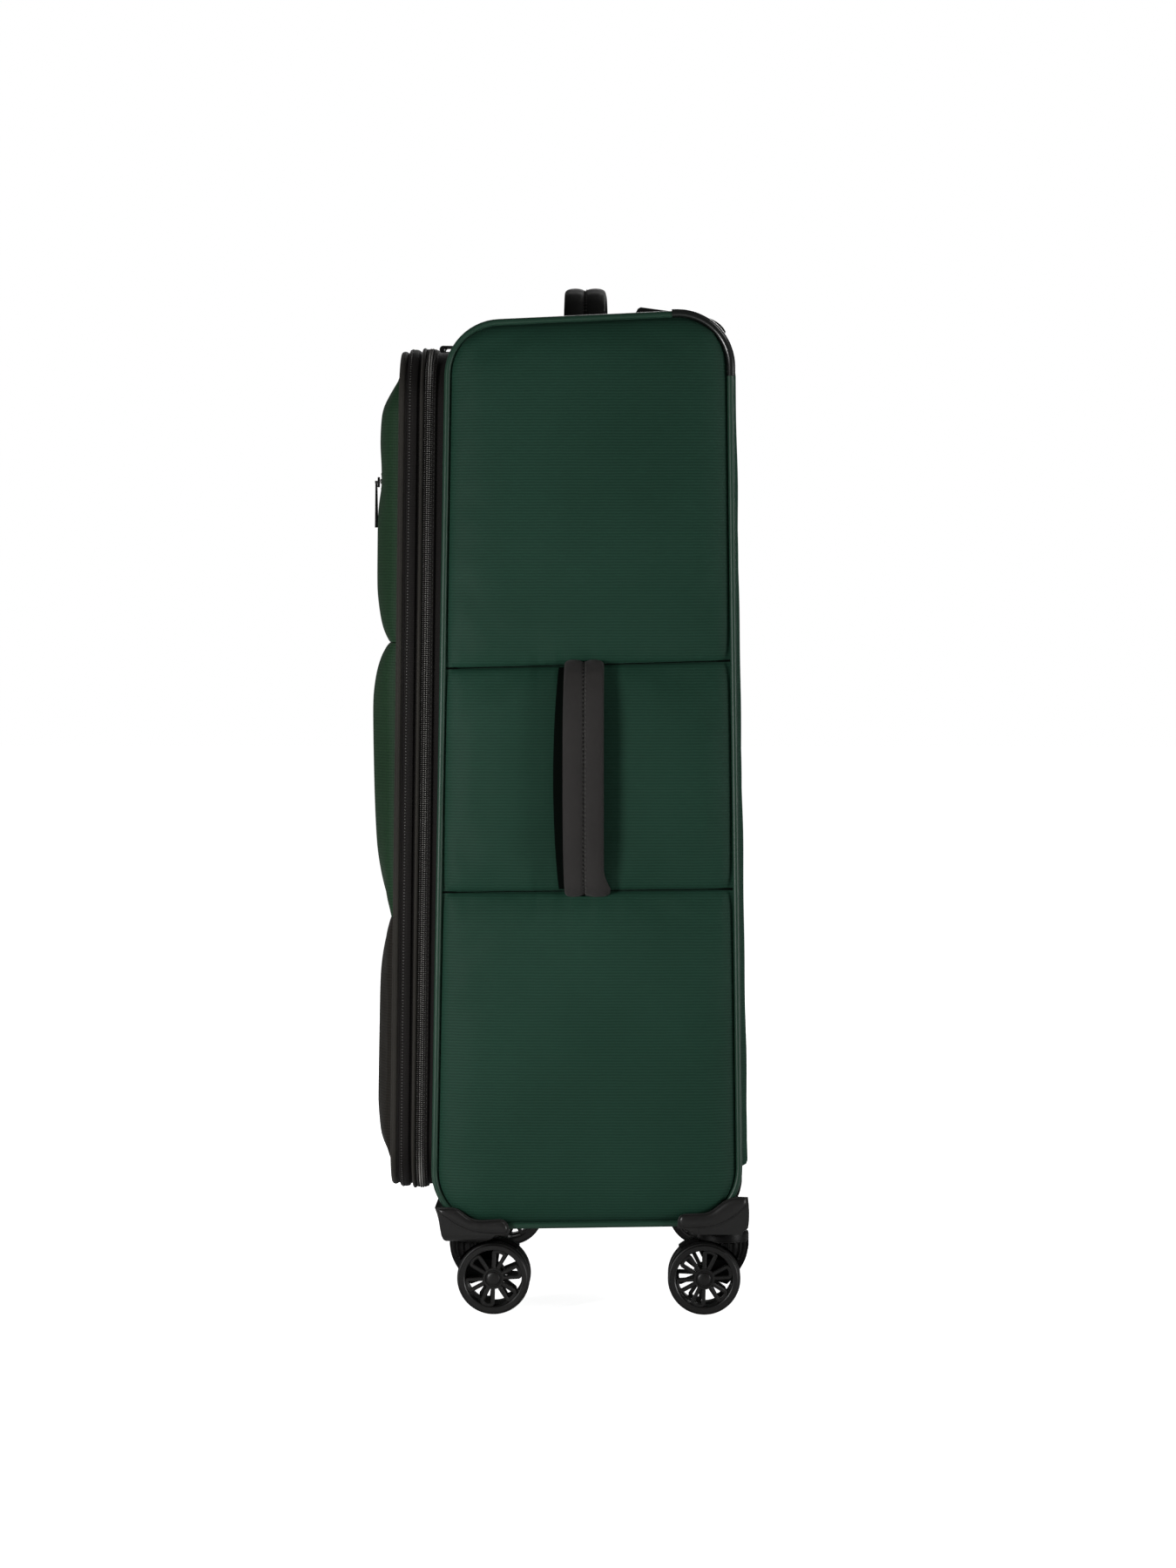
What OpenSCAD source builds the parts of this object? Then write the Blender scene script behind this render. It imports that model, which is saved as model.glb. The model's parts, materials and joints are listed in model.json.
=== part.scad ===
// Soft-sided spinner suitcase: a padded fabric body on a boarded shell, a zipped lid with an
// expander, a two-stage pull handle and four swivelling twin-wheel casters.
// Millimetres. X is the width, -Y the front, +Z up, and the floor is z = 0.

/* [Body] */
// Width of the fabric body, side panel to side panel
body_w = 464; // [440:4:500]
// Height of the body's rear top corner above the floor
body_top = 784.5; // [770:0.5:800]
// Height of the body's front bottom corner above the floor
body_bottom = 68; // [67:0.5:69]
// Thickness of a padded wall
wall = 7; // [6:0.5:8]
// Thickness of the edge piping
piping_t = 4.5; // [4:0.1:5]

/* [Zips and lid] */
// Height of the zip loop round the lid
loop_h = 661; // [640:1:664]
// Inset of the zip loop from each side of the body
loop_inset = 12; // [11:0.5:14]
// Corner radius of the zip loop
loop_r = 45; // [40:1:50]
// Backward lean of the front face, in degrees
front_lean = 0.75; // [0.5:0.05:1]

/* [Front panels] */
// How far the upper section stands out from its board
upper_puff = 18; // [12:1:20]
// How far the middle section stands out from its board
middle_puff = 19.5; // [12:0.5:20]
// How far the lower section stands out from its board
lower_puff = 11; // [8:0.5:14]

/* [Casters] */
// Diameter of a wheel
wheel_d = 57; // [55:1:57]
// Width of one wheel of a twin
wheel_w = 13.5; // [12:0.5:14]
// Distance from the swivel axis back to the wheel axle
trail = 15; // [14:0.5:16]
// Petals of a wheel, each with two spokes
petals = 6; // [5:1:7]

/* [Pull handle] */
// Distance between the two telescopic legs
leg_gap = 150; // [140:2:160]
// Height of the housing's front lip above the top panel
lip_h = 11; // [9:0.5:12]

/* [Hidden] */
$fn = 48;
fit = 0.3;
half_w = body_w / 2;
side_handle_out = 22;
bracket_out = 2.6;
mid_x = -(side_handle_out - bracket_out) / 2;

// The body's side outline: [depth, height, corner radius], seen from the right, counter-clockwise.
side_corners = [[-100.5, body_bottom, 45], [143, body_bottom + 4, 45],
                [134, body_top, 43], [-88, body_top - 10, 44]];

green = "#1f3d30";
black_cloth = "#282624";
black_plastic = "#1b1b1b";
silver = "#b9bcc0";
grey_cloth = "#6b6d70";

// ---- outlines ----

function normal_angle(a, b) = atan2(b[1] - a[1], b[0] - a[0]) - 90;
function along(angle) = [cos(angle), sin(angle)];
function corner_centre(c, i) =
    let (n = len(c), prev = c[(i + n - 1) % n], next = c[(i + 1) % n],
         u = along(normal_angle(prev, c[i])), v = along(normal_angle(c[i], next)))
    [c[i][0], c[i][1]] - c[i][2] * (u + v) / (1 + u * v);

// The rounded outline of a convex counter-clockwise polygon, moved inwards by inset.
function outline(c, inset = 0, steps = 8) =
    let (n = len(c))
    [for (i = [0 : n - 1])
        let (from = normal_angle(c[(i + n - 1) % n], c[i]),
             turn = (normal_angle(c[i], c[(i + 1) % n]) - from + 720) % 360,
             centre = corner_centre(c, i))
        for (k = [0 : steps]) centre + (c[i][2] - inset) * along(from + turn * k / steps)];

function rect_corners(x0, y0, x1, y1, r) = [[x0, y0, r], [x1, y0, r], [x1, y1, r], [x0, y1, r]];
function bezier(a, b, c, d, steps = 8) =
    [for (k = [0 : steps]) let (t = k / steps, s = 1 - t)
        s * s * s * a + 3 * s * s * t * b + 3 * s * t * t * c + t * t * t * d];
function polar(r, angle) = r * along(angle);

// Extrudes an outline drawn as [depth, height] across the width, from x0 to x1 off the middle.
module across(x0, x1) {
    translate([mid_x + x0, 0, 0]) rotate([90, 0, 90]) linear_extrude(x1 - x0) children();
}

// Extrudes an outline drawn as [width, height] along the depth, from y0 back to y1.
module along_depth(y0, y1) {
    translate([mid_x, y1, 0]) rotate([90, 0, 0]) linear_extrude(y1 - y0) children();
}

// A box given by its two corners, with x off the middle.
module box(lo, hi) {
    translate([mid_x + lo[0], lo[1], lo[2]]) cube(hi - lo);
}

// ---- body ----

inner_w = half_w - 8;
arc_top_z = body_top - 43;
arc_bottom_z = body_bottom + 47;

module side_panel(side) {
    x0 = side > 0 ? inner_w : -half_w;
    across(x0, x0 + 8) polygon(outline(side_corners, piping_t));
}
module side_panel_right() { color(green) side_panel(1); }
module side_panel_left() { color(green) side_panel(-1); }

module piping() {
    color(green) for (x0 = [-inner_w - piping_t, inner_w])
        across(x0, x0 + piping_t) difference() {
            polygon(outline(side_corners));
            polygon(outline(side_corners, piping_t));
        }
}

// The body as a solid, up to its outer faces: trims whatever is fitted round it.
module envelope(outset = 0) {
    across(-inner_w - 1, inner_w + 1) polygon(outline(side_corners, 1 - outset));
    for (x0 = [-half_w - outset, inner_w])
        across(x0, x0 + 8 + outset) polygon(outline(side_corners, -outset));
}

// The strip that runs round the body between the two side panels.
module band() {
    difference() {
        across(-inner_w, inner_w) polygon(outline(side_corners, 1));
        across(-inner_w - 1, inner_w + 1) polygon(outline(side_corners, 1 + wall));
    }
}

module top_panel() {
    color(green) difference() {
        intersection() {
            band();
            box([-half_w, -150, arc_top_z], [half_w, 150, body_top + 5]);
        }
        housing_cup_space();
        lid_opening();
    }
}

module bottom_panel() {
    color(green) difference() {
        intersection() {
            band();
            box([-half_w, -150, 50], [half_w, 150, arc_bottom_z]);
        }
        for (c = casters) translate([swivel_x(c), swivel_y(c), 50]) cylinder(r = boss_r + 0.2, h = 50);
        lid_opening();
    }
}

back_y = 148.3;
module back_panel() {
    color(green) across(-inner_w, inner_w) difference() {
        polygon([[120, arc_bottom_z], [147, arc_bottom_z], [back_y, arc_bottom_z + 4],
                 [back_y - 10.4, arc_top_z - 4], [136, arc_top_z], [120, arc_top_z]]);
        polygon(outline(side_corners, 1 + wall));
    }
}

module front_border() {
    color(green) difference() {
        intersection() {
            band();
            box([-half_w, -150, arc_bottom_z], [half_w, 0, arc_top_z]);
        }
        lid_opening();
    }
}

// ---- the leaning front: x off the middle, y = 0 at the main zip's teeth, z = 0 at its centre ----

loop_mid_z = 425.5;
split_y = -105;
loop_w = body_w - 2 * loop_inset;
loop_corners = rect_corners(-loop_w / 2, -loop_h / 2, loop_w / 2, loop_h / 2, loop_r);
hinge_end_x = -loop_w / 2 + loop_r + 15;

module in_front_frame() {
    translate([mid_x, split_y, loop_mid_z]) rotate([-front_lean, 0, 0]) children();
}

// The zip loop's inside, from y = back (towards the case) to y = front.
module loop_prism(inset, back, front) {
    translate([0, back, 0]) rotate([90, 0, 0]) linear_extrude(back - front)
        polygon(outline(loop_corners, inset));
}
module loop_ring(outer, inner, back, front) {
    difference() {
        loop_prism(outer, back, front);
        loop_prism(inner, back + 1, front - 1);
    }
}
// The part of a ring that carries the zip, and the part by the hinge.
module zip_side() {
    intersection() {
        children();
        translate([hinge_end_x, -100, -500]) cube([1000, 160, 1000]);
    }
}
module hinge_side() {
    intersection() {
        children();
        translate([hinge_end_x - 1000, -100, -500]) cube([1000, 160, 1000]);
    }
}

// The way into the body, inside the zip's tape.
module lid_opening() {
    in_front_frame() loop_prism(3.5, 60, -20);
}

module body_ring() {
    loop_ring(1.5, 3.5, 40, 0.2);
}
module body_zip_half() {
    color(black_cloth) {
        difference() {
            in_front_frame() zip_side() body_ring();
            envelope();
        }
        in_front_frame() zip_side() loop_ring(0, 1.5, 3.4, 0.2);
    }
}
module hinge_gusset() {
    color(black_cloth) difference() {
        in_front_frame() hinge_side() body_ring();
        envelope();
    }
}

module lid_zip_half() {
    color(black_cloth) in_front_frame() zip_side() {
        loop_ring(0, 1.5, -0.2, -3.4);
        loop_ring(1.5, 3.5, -0.2, -3.4);
    }
}
// Inner wall, the rounded lip beside the teeth, the fold, and the first half of the expander gusset.
module lid_frame() {
    color(black_cloth) in_front_frame() {
        loop_ring(3.5, 6, -0.4, -17);
        loop_ring(0.4, 3.5, -3.4, -7);
        loop_ring(2.6, 3.5, -7, -9.2);
        loop_ring(1.4, 3.5, -9.2, -17);
        hinge_side() loop_ring(1.4, 3.5, -0.4, -3.4);
    }
}

// ---- the front section, which slides forward when the expander zip is opened ----

module front_board() {
    color(black_cloth) in_front_frame() {
        loop_ring(1.4, 3.5, -17 - fit, -22.5);
        loop_prism(3.5, -20, -22.5);
    }
}
module expander_sleeve() {
    color(black_cloth) in_front_frame() loop_ring(6.8, 8.3, 28, -20);
}

// One puffed section between two heights, crowned across the width and up the height.
module puffed(z0, z1, puff) {
    half = loop_w / 2 - 4;
    base = 22.5;
    side = [for (k = [-10 : 10]) let (u = k / 10)
        [-base - puff * pow(1 - pow(abs(u), 4), 0.5), (z0 + z1) / 2 + u * (z1 - z0) / 2]];
    wide = [for (k = [-10 : 10]) let (u = k / 10)
        [u * half, -base - puff * pow(1 - pow(abs(u), 9), 0.45)]];
    intersection() {
        translate([-half - 1, 0, 0]) rotate([90, 0, 90]) linear_extrude(2 * half + 2) polygon(side);
        translate([0, 0, z0 - 1]) linear_extrude(z1 - z0 + 2) polygon(wide);
        loop_prism(4, -10, -60);
    }
}
seam_upper = 100;
seam_lower = -115;
module panel_upper() {
    color(green) in_front_frame() puffed(seam_upper + 0.4, loop_h / 2 - 8, upper_puff);
}
module panel_middle() {
    color(green) in_front_frame() puffed(seam_lower + 0.4, seam_upper - 0.4, middle_puff);
}
module panel_lower() {
    color(black_cloth) in_front_frame() puffed(-loop_h / 2 + 6, seam_lower - 0.4, lower_puff);
}

module lid_lining() {
    color(grey_cloth) in_front_frame() loop_prism(8.5, -18.6, -19.9);
}
module mesh_pocket() {
    color(black_cloth) in_front_frame() {
        loop_prism(24, -13.5, -14.3);
        loop_ring(21, 24, -13.5, -18.5);
    }
}

// The upper pocket's zip lies flat on the crown of the upper section.
pocket_z = 226;
pocket_half = 150;
pocket_y = -22.5 - upper_puff;
module pocket_zip() {
    color(black_cloth) in_front_frame() {
        translate([-pocket_half, pocket_y - 1.3, pocket_z - 8]) cube([2 * pocket_half, 1.2, 16]);
        translate([-pocket_half, pocket_y - 2.2, pocket_z - 2]) cube([2 * pocket_half, 0.9, 4]);
    }
}
pocket_slider_x = 138;
pull_pin_y = pocket_y - 4.7;
module pocket_slider() {
    color(black_plastic) in_front_frame() translate([pocket_slider_x, 0, pocket_z]) {
        translate([0, pocket_y - 2.2, 0]) rotate([90, 0, 0]) linear_extrude(1.2)
            polygon(outline(rect_corners(-6, -4, 6, 4, 2)));
        for (x0 = [-5.6, 4.4]) translate([x0, pull_pin_y - 0.8, -1]) cube([1.2, 2.2, 2]);
        translate([-5, pull_pin_y, 0]) rotate([0, 90, 0]) cylinder(r = 0.45, h = 10);
    }
}
// A flat tab that hangs from the slider's pin.
module pocket_pull() {
    color(black_plastic) in_front_frame() translate([pocket_slider_x, pull_pin_y, pocket_z])
        difference() {
            union() {
                translate([-4, 0, 0]) rotate([0, 90, 0]) cylinder(r = 0.9, h = 8);
                translate([0, 0.6, 0]) rotate([90, 0, 0]) linear_extrude(1.2)
                    polygon(outline(rect_corners(-4, -36, 4, 0, 0.4)));
            }
            translate([-5, 0, 0]) rotate([0, 90, 0]) cylinder(r = 0.5, h = 10);
            translate([0, 0, -31]) rotate([90, 0, 0]) cylinder(r = 2, h = 4, center = true);
        }
}

// ---- sliders of the main zip and of the expander zip ----

slider_z = loop_h / 2 + 0.4;
main_pin_z = slider_z + 6;
module main_slider(x) {
    in_front_frame() {
        translate([x, 0, slider_z]) {
            linear_extrude(2.2) polygon(outline(rect_corners(-7, -4.5, 7, 4.5, 2.5)));
            for (x0 = [-3.3, 1.9]) translate([x0, -1.6, 2]) cube([1.4, 3.4, 6]);
        }
        translate([x - 3, 0.1, main_pin_z]) rotate([0, 90, 0]) cylinder(r = 0.7, h = 6);
    }
}
// A moulded loop on the slider's cross pin, lying back over the border.
module main_pull(x) {
    in_front_frame() translate([x - 1.6, 0.1, main_pin_z]) rotate([90, 0, 90])
        linear_extrude(3.2) difference() {
            polygon(outline(rect_corners(-2.4, -3.2, 10.6, 3.2, 3)));
            polygon(outline(rect_corners(1.8, -1.7, 8.9, 1.7, 1.6)));
            circle(r = 0.75);
        }
}
module main_slider_right() { color(black_plastic) main_slider(14); }
module main_slider_left() { color(black_plastic) main_slider(-14); }
module main_pull_right() { color(black_plastic) main_pull(14); }
module main_pull_left() { color(black_plastic) main_pull(-14); }

module expander_slider() {
    color(black_plastic) in_front_frame() translate([-loop_w / 2 + 1.1, -17, -220]) rotate([0, -90, 0]) {
        linear_extrude(2) polygon(outline(rect_corners(-6, -4, 6, 4, 2)));
        translate([0, 0, 2]) linear_extrude(1.4) polygon(outline(rect_corners(-22, -2.5, -2, 2.5, 2)));
    }
}

// ---- inside the case ----

tube_y = 108;
lining_y = 98;
module lining() {
    color(grey_cloth) difference() {
        across(-inner_w + 0.2, inner_w - 0.2) polygon(outline(side_corners, 1.3 + wall));
        across(-inner_w + 1.4, inner_w - 1.4) polygon(outline(side_corners, 2.5 + wall));
        box([cup[0][0] - 0.3, cup[0][1] - 0.3, 700], [cup[1][0] + 0.3, cup[1][1] + 0.3, 800]);
        lid_opening();
        for (c = casters) translate([swivel_x(c), swivel_y(c), 50]) cylinder(r = boss_r + 0.2, h = 50);
    }
}

// Padded tunnels over the pull handle's tubes.
module tube_covers() {
    color(grey_cloth) for (s = [-1, 1]) intersection() {
        difference() {
            box([s * leg_gap / 2 - 15, lining_y, 60], [s * leg_gap / 2 + 15, 145, cup[0][2] - 0.4]);
            box([s * leg_gap / 2 - 13, lining_y + 2, 50], [s * leg_gap / 2 + 13, 146, cup[0][2]]);
        }
        across(-half_w, half_w) polygon(outline(side_corners, 2.5 + wall));
    }
}

// Four straps from the side seams, joined by a buckle over the tunnels.
buckle_z = 430;
strap_w = 16;
module packing_straps() {
    end_x = inner_w - 1.4;
    color(black_cloth) intersection() {
        for (s = [-1, 1], end_z = [buckle_z - 210, buckle_z + 210]) {
            start = [s * 6, buckle_z + sign(end_z - buckle_z) * 10];
            run = [s * (end_x + 10), end_z] - start;
            translate([mid_x + start[0], lining_y, start[1]]) rotate([0, -atan2(run[1], run[0]), 0])
                translate([0, -1.4, -strap_w / 2]) cube([norm(run), 1.4, strap_w]);
        }
        box([-end_x, 0, 0], [end_x, lining_y, 900]);
    }
}
module strap_buckle() {
    color(black_plastic) for (s = [-1, 1])
        translate([mid_x + (s > 0 ? 0.2 : -24), lining_y - 7.4, buckle_z - 24])
            difference() {
                cube([23.8, 6, 48]);
                translate([s > 0 ? 14 : 4, -1, 8]) cube([5.8, 10, 32]);
            }
}

// ---- carry handles ----

// A padded strap that rises from both ends: an arch of thickness t over a gap, as [along, height].
function arch(half, rise, t, steps = 12) = concat(
    [for (k = [-steps : steps]) let (u = k / steps)
        [u * half, rise * pow(1 - pow(abs(u), 3.2), 0.8)]],
    [for (k = [steps : -1 : -steps]) let (u = k / steps)
        [u * (half - t * 1.4), (rise - t) * pow(1 - pow(abs(u), 3.2), 0.8)]]);

top_handle_y = 17;
top_handle_z = 775;
module top_handle() {
    color(black_cloth) translate([mid_x, top_handle_y, top_handle_z]) difference() {
        rotate([90, 0, 0]) linear_extrude(34, center = true) polygon(arch(96, 36.2, 8));
        translate([-60, -0.8, 35]) cube([120, 1.6, 5]);
        translate([-mid_x, -top_handle_y, -top_handle_z]) envelope();
    }
}
module side_handle() {
    color(black_cloth) translate([mid_x + half_w, 17.7, 421]) rotate([0, 90, 0]) difference() {
        rotate([90, 0, 0]) linear_extrude(38, center = true) polygon(arch(87, side_handle_out, 7.5));
        translate([-60, 3.2, side_handle_out - 1.2]) cube([120, 1.6, 5]);
    }
}

// ---- corner guards ----

// A hard strip over the piping at each rear top corner, with a flange down over the side panel's edge.
module corner_guards() {
    color(black_plastic) for (s = [-1, 1]) difference() {
        intersection() {
            across(s > 0 ? half_w - 22 : -half_w + 1.9, s > 0 ? half_w - 1.9 : -half_w + 22)
                polygon(outline(side_corners, -1.6));
            across(-half_w, half_w)
                polygon([[87, 755], [110, 735], [126, 728], [150, 732], [150, 800], [87, 800]]);
        }
        across(-half_w + 3.5, half_w - 3.5) polygon(outline(side_corners));
        across(-half_w - 1, half_w + 1) polygon(outline(side_corners, piping_t));
        box([-inner_w - 0.1, 50, 700], [inner_w + 0.1, 160, arc_top_z + 0.3]);
    }
}

// ---- pull handle ----

cup = [[-96, 72, 757], [96, 125, 0]];
cap_half = 100;
grip_y0 = 95;
grip_y1 = 121;
floor_t = 2.5;

module housing_cup_space() {
    box([cup[0][0] - 0.1, cup[0][1] - 0.1, cup[0][2] - 0.1], [cup[1][0] + 0.1, cup[1][1] + 0.1, 800]);
}
module housing_cap() {
    front = bezier([57, 776], [57, 783], [57.5, body_top - 4 + lip_h], [62, body_top - 3.2 + lip_h], 5);
    back = bezier([105, 786.5], [116, 785], [126, 781], [130, 773], 8);
    intersection() {
        across(-cap_half, cap_half) polygon(concat(front, back, [[129, 766], [118, 750], [60, 750]]));
        translate([mid_x, 0, 700]) linear_extrude(150)
            polygon(outline(rect_corners(-cap_half, 50, cap_half, 150, 12)));
    }
}
module leg_outline(w, d, inset = 0) {
    polygon(outline(rect_corners(-w / 2, -d / 2, w / 2, d / 2, d / 2 - 0.6), inset, 5));
}
module legs(z0, z1) {
    for (s = [-1, 1]) translate([mid_x + s * leg_gap / 2, tube_y, z0]) linear_extrude(z1 - z0) children();
}

module trolley_housing() {
    top = 800;
    color(black_plastic) difference() {
        union() {
            difference() {
                housing_cap();
                envelope();
            }
            intersection() {
                box(cup[0], [cup[1][0], cup[1][1], top]);
                union() {
                    housing_cap();
                    across(-half_w, half_w) polygon(outline(side_corners));
                }
            }
        }
        box([-92, grip_y0 - 2, cup[0][2] + floor_t], [92, 123, top]);
        box([-46, 75, 764], [46, grip_y0, top]);
        legs(700, top) leg_outline(16.2 + 2 * fit, 10.2 + 2 * fit);
    }
}
module outer_tubes() {
    color(silver) intersection() {
        legs(75, cup[0][2]) difference() {
            leg_outline(19, 13);
            leg_outline(19, 13, 1);
        }
        across(-half_w, half_w) polygon(outline(side_corners, 2.5 + wall));
    }
}
module middle_tubes() {
    color(silver) legs(430, 762) difference() {
        leg_outline(16.2, 10.2);
        leg_outline(16.2, 10.2, 1);
    }
}
grip_z = 764.5;
grip_top = 784.5;
module inner_tubes() {
    color(silver) legs(440, grip_z) difference() {
        leg_outline(13.4, 7.4);
        leg_outline(13.4, 7.4, 1);
    }
}
button_half = 18;
module grip() {
    color(black_plastic) difference() {
        intersection() {
            across(-88, 88) polygon(outline(rect_corners(grip_y0, grip_z, grip_y1, grip_top, 7)));
            along_depth(80, 130) polygon(outline(rect_corners(-88, grip_z - 0.01, 88, grip_top, 8)));
        }
        box([-62, 90, grip_z - 5], [62, 130, grip_z + 4]);
        box([-button_half - 0.4, tube_y - 5.9, grip_top - 10], [button_half + 0.4, tube_y + 5.9, 800]);
    }
}
module release_button() {
    color(silver) translate([mid_x, tube_y, grip_top - 5])
        linear_extrude(6.5) polygon(outline(rect_corners(-button_half, -5.5, button_half, 5.5, 4)));
}

// ---- casters: [side, front -1 or rear 1] ----

casters = [[1, -1], [-1, -1], [1, 1], [-1, 1]];
wheel_r = wheel_d / 2;
inner_face = 7.5;
boss_r = 12;
stem_r = 3.95;
bracket_z = 59;
function swivel_x(c) = mid_x + c[0] * (half_w - 34);
function swivel_y(c) = c[1] < 0 ? -67 : 128;

// Places a caster drawn with its swivel axis at the origin and its wheels trailing towards +Y.
module at_caster(c) {
    translate([swivel_x(c), swivel_y(c), 0]) rotate([0, 0, c[1] < 0 ? 0 : 180]) children();
}

// The fork: stem, top disc, a ribbed skirt on the leading side, and a web with a hood between the wheels.
module fork(c) {
    color(black_plastic) at_caster(c) difference() {
        union() {
            translate([0, 0, 36]) cylinder(r = stem_r, h = 36);
            translate([0, 0, 36]) cylinder(r = 18.5, h = 22.6);
            translate([-6.5, 0, wheel_r]) cube([13, trail + 6, 27]);
            translate([-6.5, trail, wheel_r]) rotate([0, 90, 0]) cylinder(r = 9, h = 13);
            translate([-6.5, -10, 33]) cube([13, 20, 20]);
            intersection() {
                translate([-6.5, trail, wheel_r]) rotate([0, 90, 0]) cylinder(r = wheel_r + 2.7, h = 13);
                translate([-20, 0, wheel_r + 10]) cube([40, 60, 19.9]);
            }
        }
        for (s = [-1, 1]) translate([s > 0 ? 6.5 : -26.5, trail, wheel_r])
            rotate([0, 90, 0]) cylinder(r = wheel_r + 1.5, h = 20);
        translate([0, 0, -1]) cylinder(r = 20, h = wheel_r - 8);
        for (a = [-62 : 31 : 62]) rotate([0, 0, a - 90])
            translate([14.5, -1.1, 38]) cube([6, 2.2, 15]);
        translate([-10, trail, wheel_r]) rotate([0, 90, 0]) cylinder(r = 2.52, h = 20);
    }
}
module axle(c) {
    color(silver) at_caster(c) translate([-19.5, trail, wheel_r])
        rotate([0, 90, 0]) cylinder(r = 2.5, h = 39);
}

// A spoke opening between two radii and two angles, its sides drawn in by the spokes' taper.
function opening(r0, r1, a0, a1, steps = 6) = concat(
    [for (k = [0 : 2]) polar(r0, a0 + (a1 - a0) * (0.3 + 0.2 * k))],
    [for (k = [steps : -1 : 0]) polar(r1, a0 + (a1 - a0) * k / steps)]);

module wheel_openings() {
    pitch = 360 / petals;
    for (p = [0 : petals - 1]) rotate(p * pitch) {
        polygon(opening(9.5, 21.8, 5, 29));
        polygon(opening(10, 20, 39, 55));
    }
}

// The wheel's section, [radius, height over the inner face]: hub, dished web, rim and round-shouldered tyre.
module wheel(c, outer) {
    turn = c[0] * (outer ? 1 : -1);
    tyre = bezier([wheel_r, 3], [wheel_r, 6], [wheel_r, wheel_w - 0.5], [wheel_r - 4.5, wheel_w], 7);
    color(black_plastic) at_caster(c)
        translate([turn * caster_side(c) * inner_face, trail, wheel_r])
        rotate([0, turn * caster_side(c) * 90, 0]) difference() {
            rotate_extrude($fn = 96) polygon(concat(
                [[0, 0], [5.5, 0], [6, 5], [20, 6.5], [22.5, 0.5], [wheel_r - 1.5, 0.5], [wheel_r, 2]], tyre,
                [[22.3, wheel_w - 0.4], [21.8, wheel_w - 2], [8, wheel_w - 1.6], [6.6, wheel_w],
                    [0, wheel_w]]));
            translate([0, 0, -1]) linear_extrude(wheel_w + 2) wheel_openings();
            translate([0, 0, -1]) cylinder(r = 2.58, h = wheel_w - 0.4);
        }
}
// At_caster turns the rear casters round, so their two sides change places.
function caster_side(c) = c[1] < 0 ? 1 : -1;

// ---- corner brackets ----

// Side outlines of the brackets, as [depth, height]: a lobe along the body and a skirt round the corner.
front_sweep = concat(
    bezier([-84, 86.5], [-75, 86.5], [-74, 76.5], [-60, 76.5], 8),
    bezier([-46, 77.5], [-41, 77], [-37.5, 72], [-39.5, 65.5], 6),
    bezier([-50, 64.5], [-53, 61], [-56, bracket_z], [-62, bracket_z], 5),
    bezier([-88, bracket_z], [-94, 60], [-92, 76], [-97, 86.5], 6));
rear_under = 65.5;
rear_sweep = concat(
    bezier([147, 95.2], [back_y, 85], [back_y, 76], [147, 70.5], 6),
    [[143.5, 68.5], [142.5, rear_under], [112, rear_under]],
    bezier([106, rear_under], [103, 67], [100, 69.5], [97, 70], 5),
    bezier([92, 70.5], [91.5, 81.5], [95, 81.5], [100, 82], 5),
    bezier([113, 82.5], [122, 83.5], [127, 95.2], [139, 95.2], 8));

// The skirt under each lobe is set back from the lobe's face.
front_skirt = concat(bezier([-102, 81], [-86, 78], [-78, 65.5], [-50, 65.5], 8), [[-50, 50], [-102, 50]]);
rear_skirt = concat([[108, 50]], bezier([108, 70.3], [128, 71], [140, 80], [151, 97], 8), [[151, 50]]);
function under_z(c) = c[1] < 0 ? bracket_z : rear_under;

// Seen from the front: the outer flange, the underside and the inner end, for the right-hand side.
bracket_width = concat(
    [[half_w + bracket_out, 120], [half_w - 75, 120], [half_w - 75, 71]],
    bezier([half_w - 70, 66], [half_w - 66, 60], [half_w - 62, bracket_z], [half_w - 56, bracket_z], 5),
    bezier([half_w - 6, bracket_z], [half_w - 1, bracket_z], [half_w + 1.5, 63],
           [half_w + bracket_out, 68], 5));

module bracket(c) {
    flip = c[0] > 0 ? 1 : -1;
    color(black_plastic) difference() {
        union() {
            difference() {
                intersection() {
                    across(flip > 0 ? 100 : -half_w - 3, flip > 0 ? half_w + 3 : -100)
                        polygon(c[1] < 0 ? front_sweep : rear_sweep);
                    along_depth(-120, 160) polygon([for (p = bracket_width) [flip * p[0], p[1]]]);
                }
                envelope(0.05);
                across(flip > 0 ? half_w + 1.5 : -half_w - 4, flip > 0 ? half_w + 4 : -half_w - 1.5)
                    polygon(c[1] < 0 ? front_skirt : rear_skirt);
            }
            translate([swivel_x(c), swivel_y(c), bracket_z]) cylinder(r = boss_r, h = 17);
            translate([swivel_x(c), swivel_y(c), bracket_z]) cylinder(r = boss_r + 2, h = 8);
        }
        translate([swivel_x(c), swivel_y(c), 50]) cylinder(r = stem_r + 0.05, h = 23);
        for (s = screw_places(c)) translate([s[0], s[1], under_z(c) - 1]) {
            cylinder(r = 3.1, h = 3);
            cylinder(r = 1.65, h = 7);
        }
    }
}
function screw_places(c) = [for (dx = [-22, 22]) [swivel_x(c) + dx, swivel_y(c) - c[1] * 4]];
module bracket_screws() {
    color(silver) for (c = casters, s = screw_places(c)) translate([s[0], s[1], under_z(c)]) {
        translate([0, 0, 0.2]) cylinder(r = 3, h = 1.8);
        translate([0, 0, 1.9]) cylinder(r = 1.6, h = 3.9);
    }
}

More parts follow.
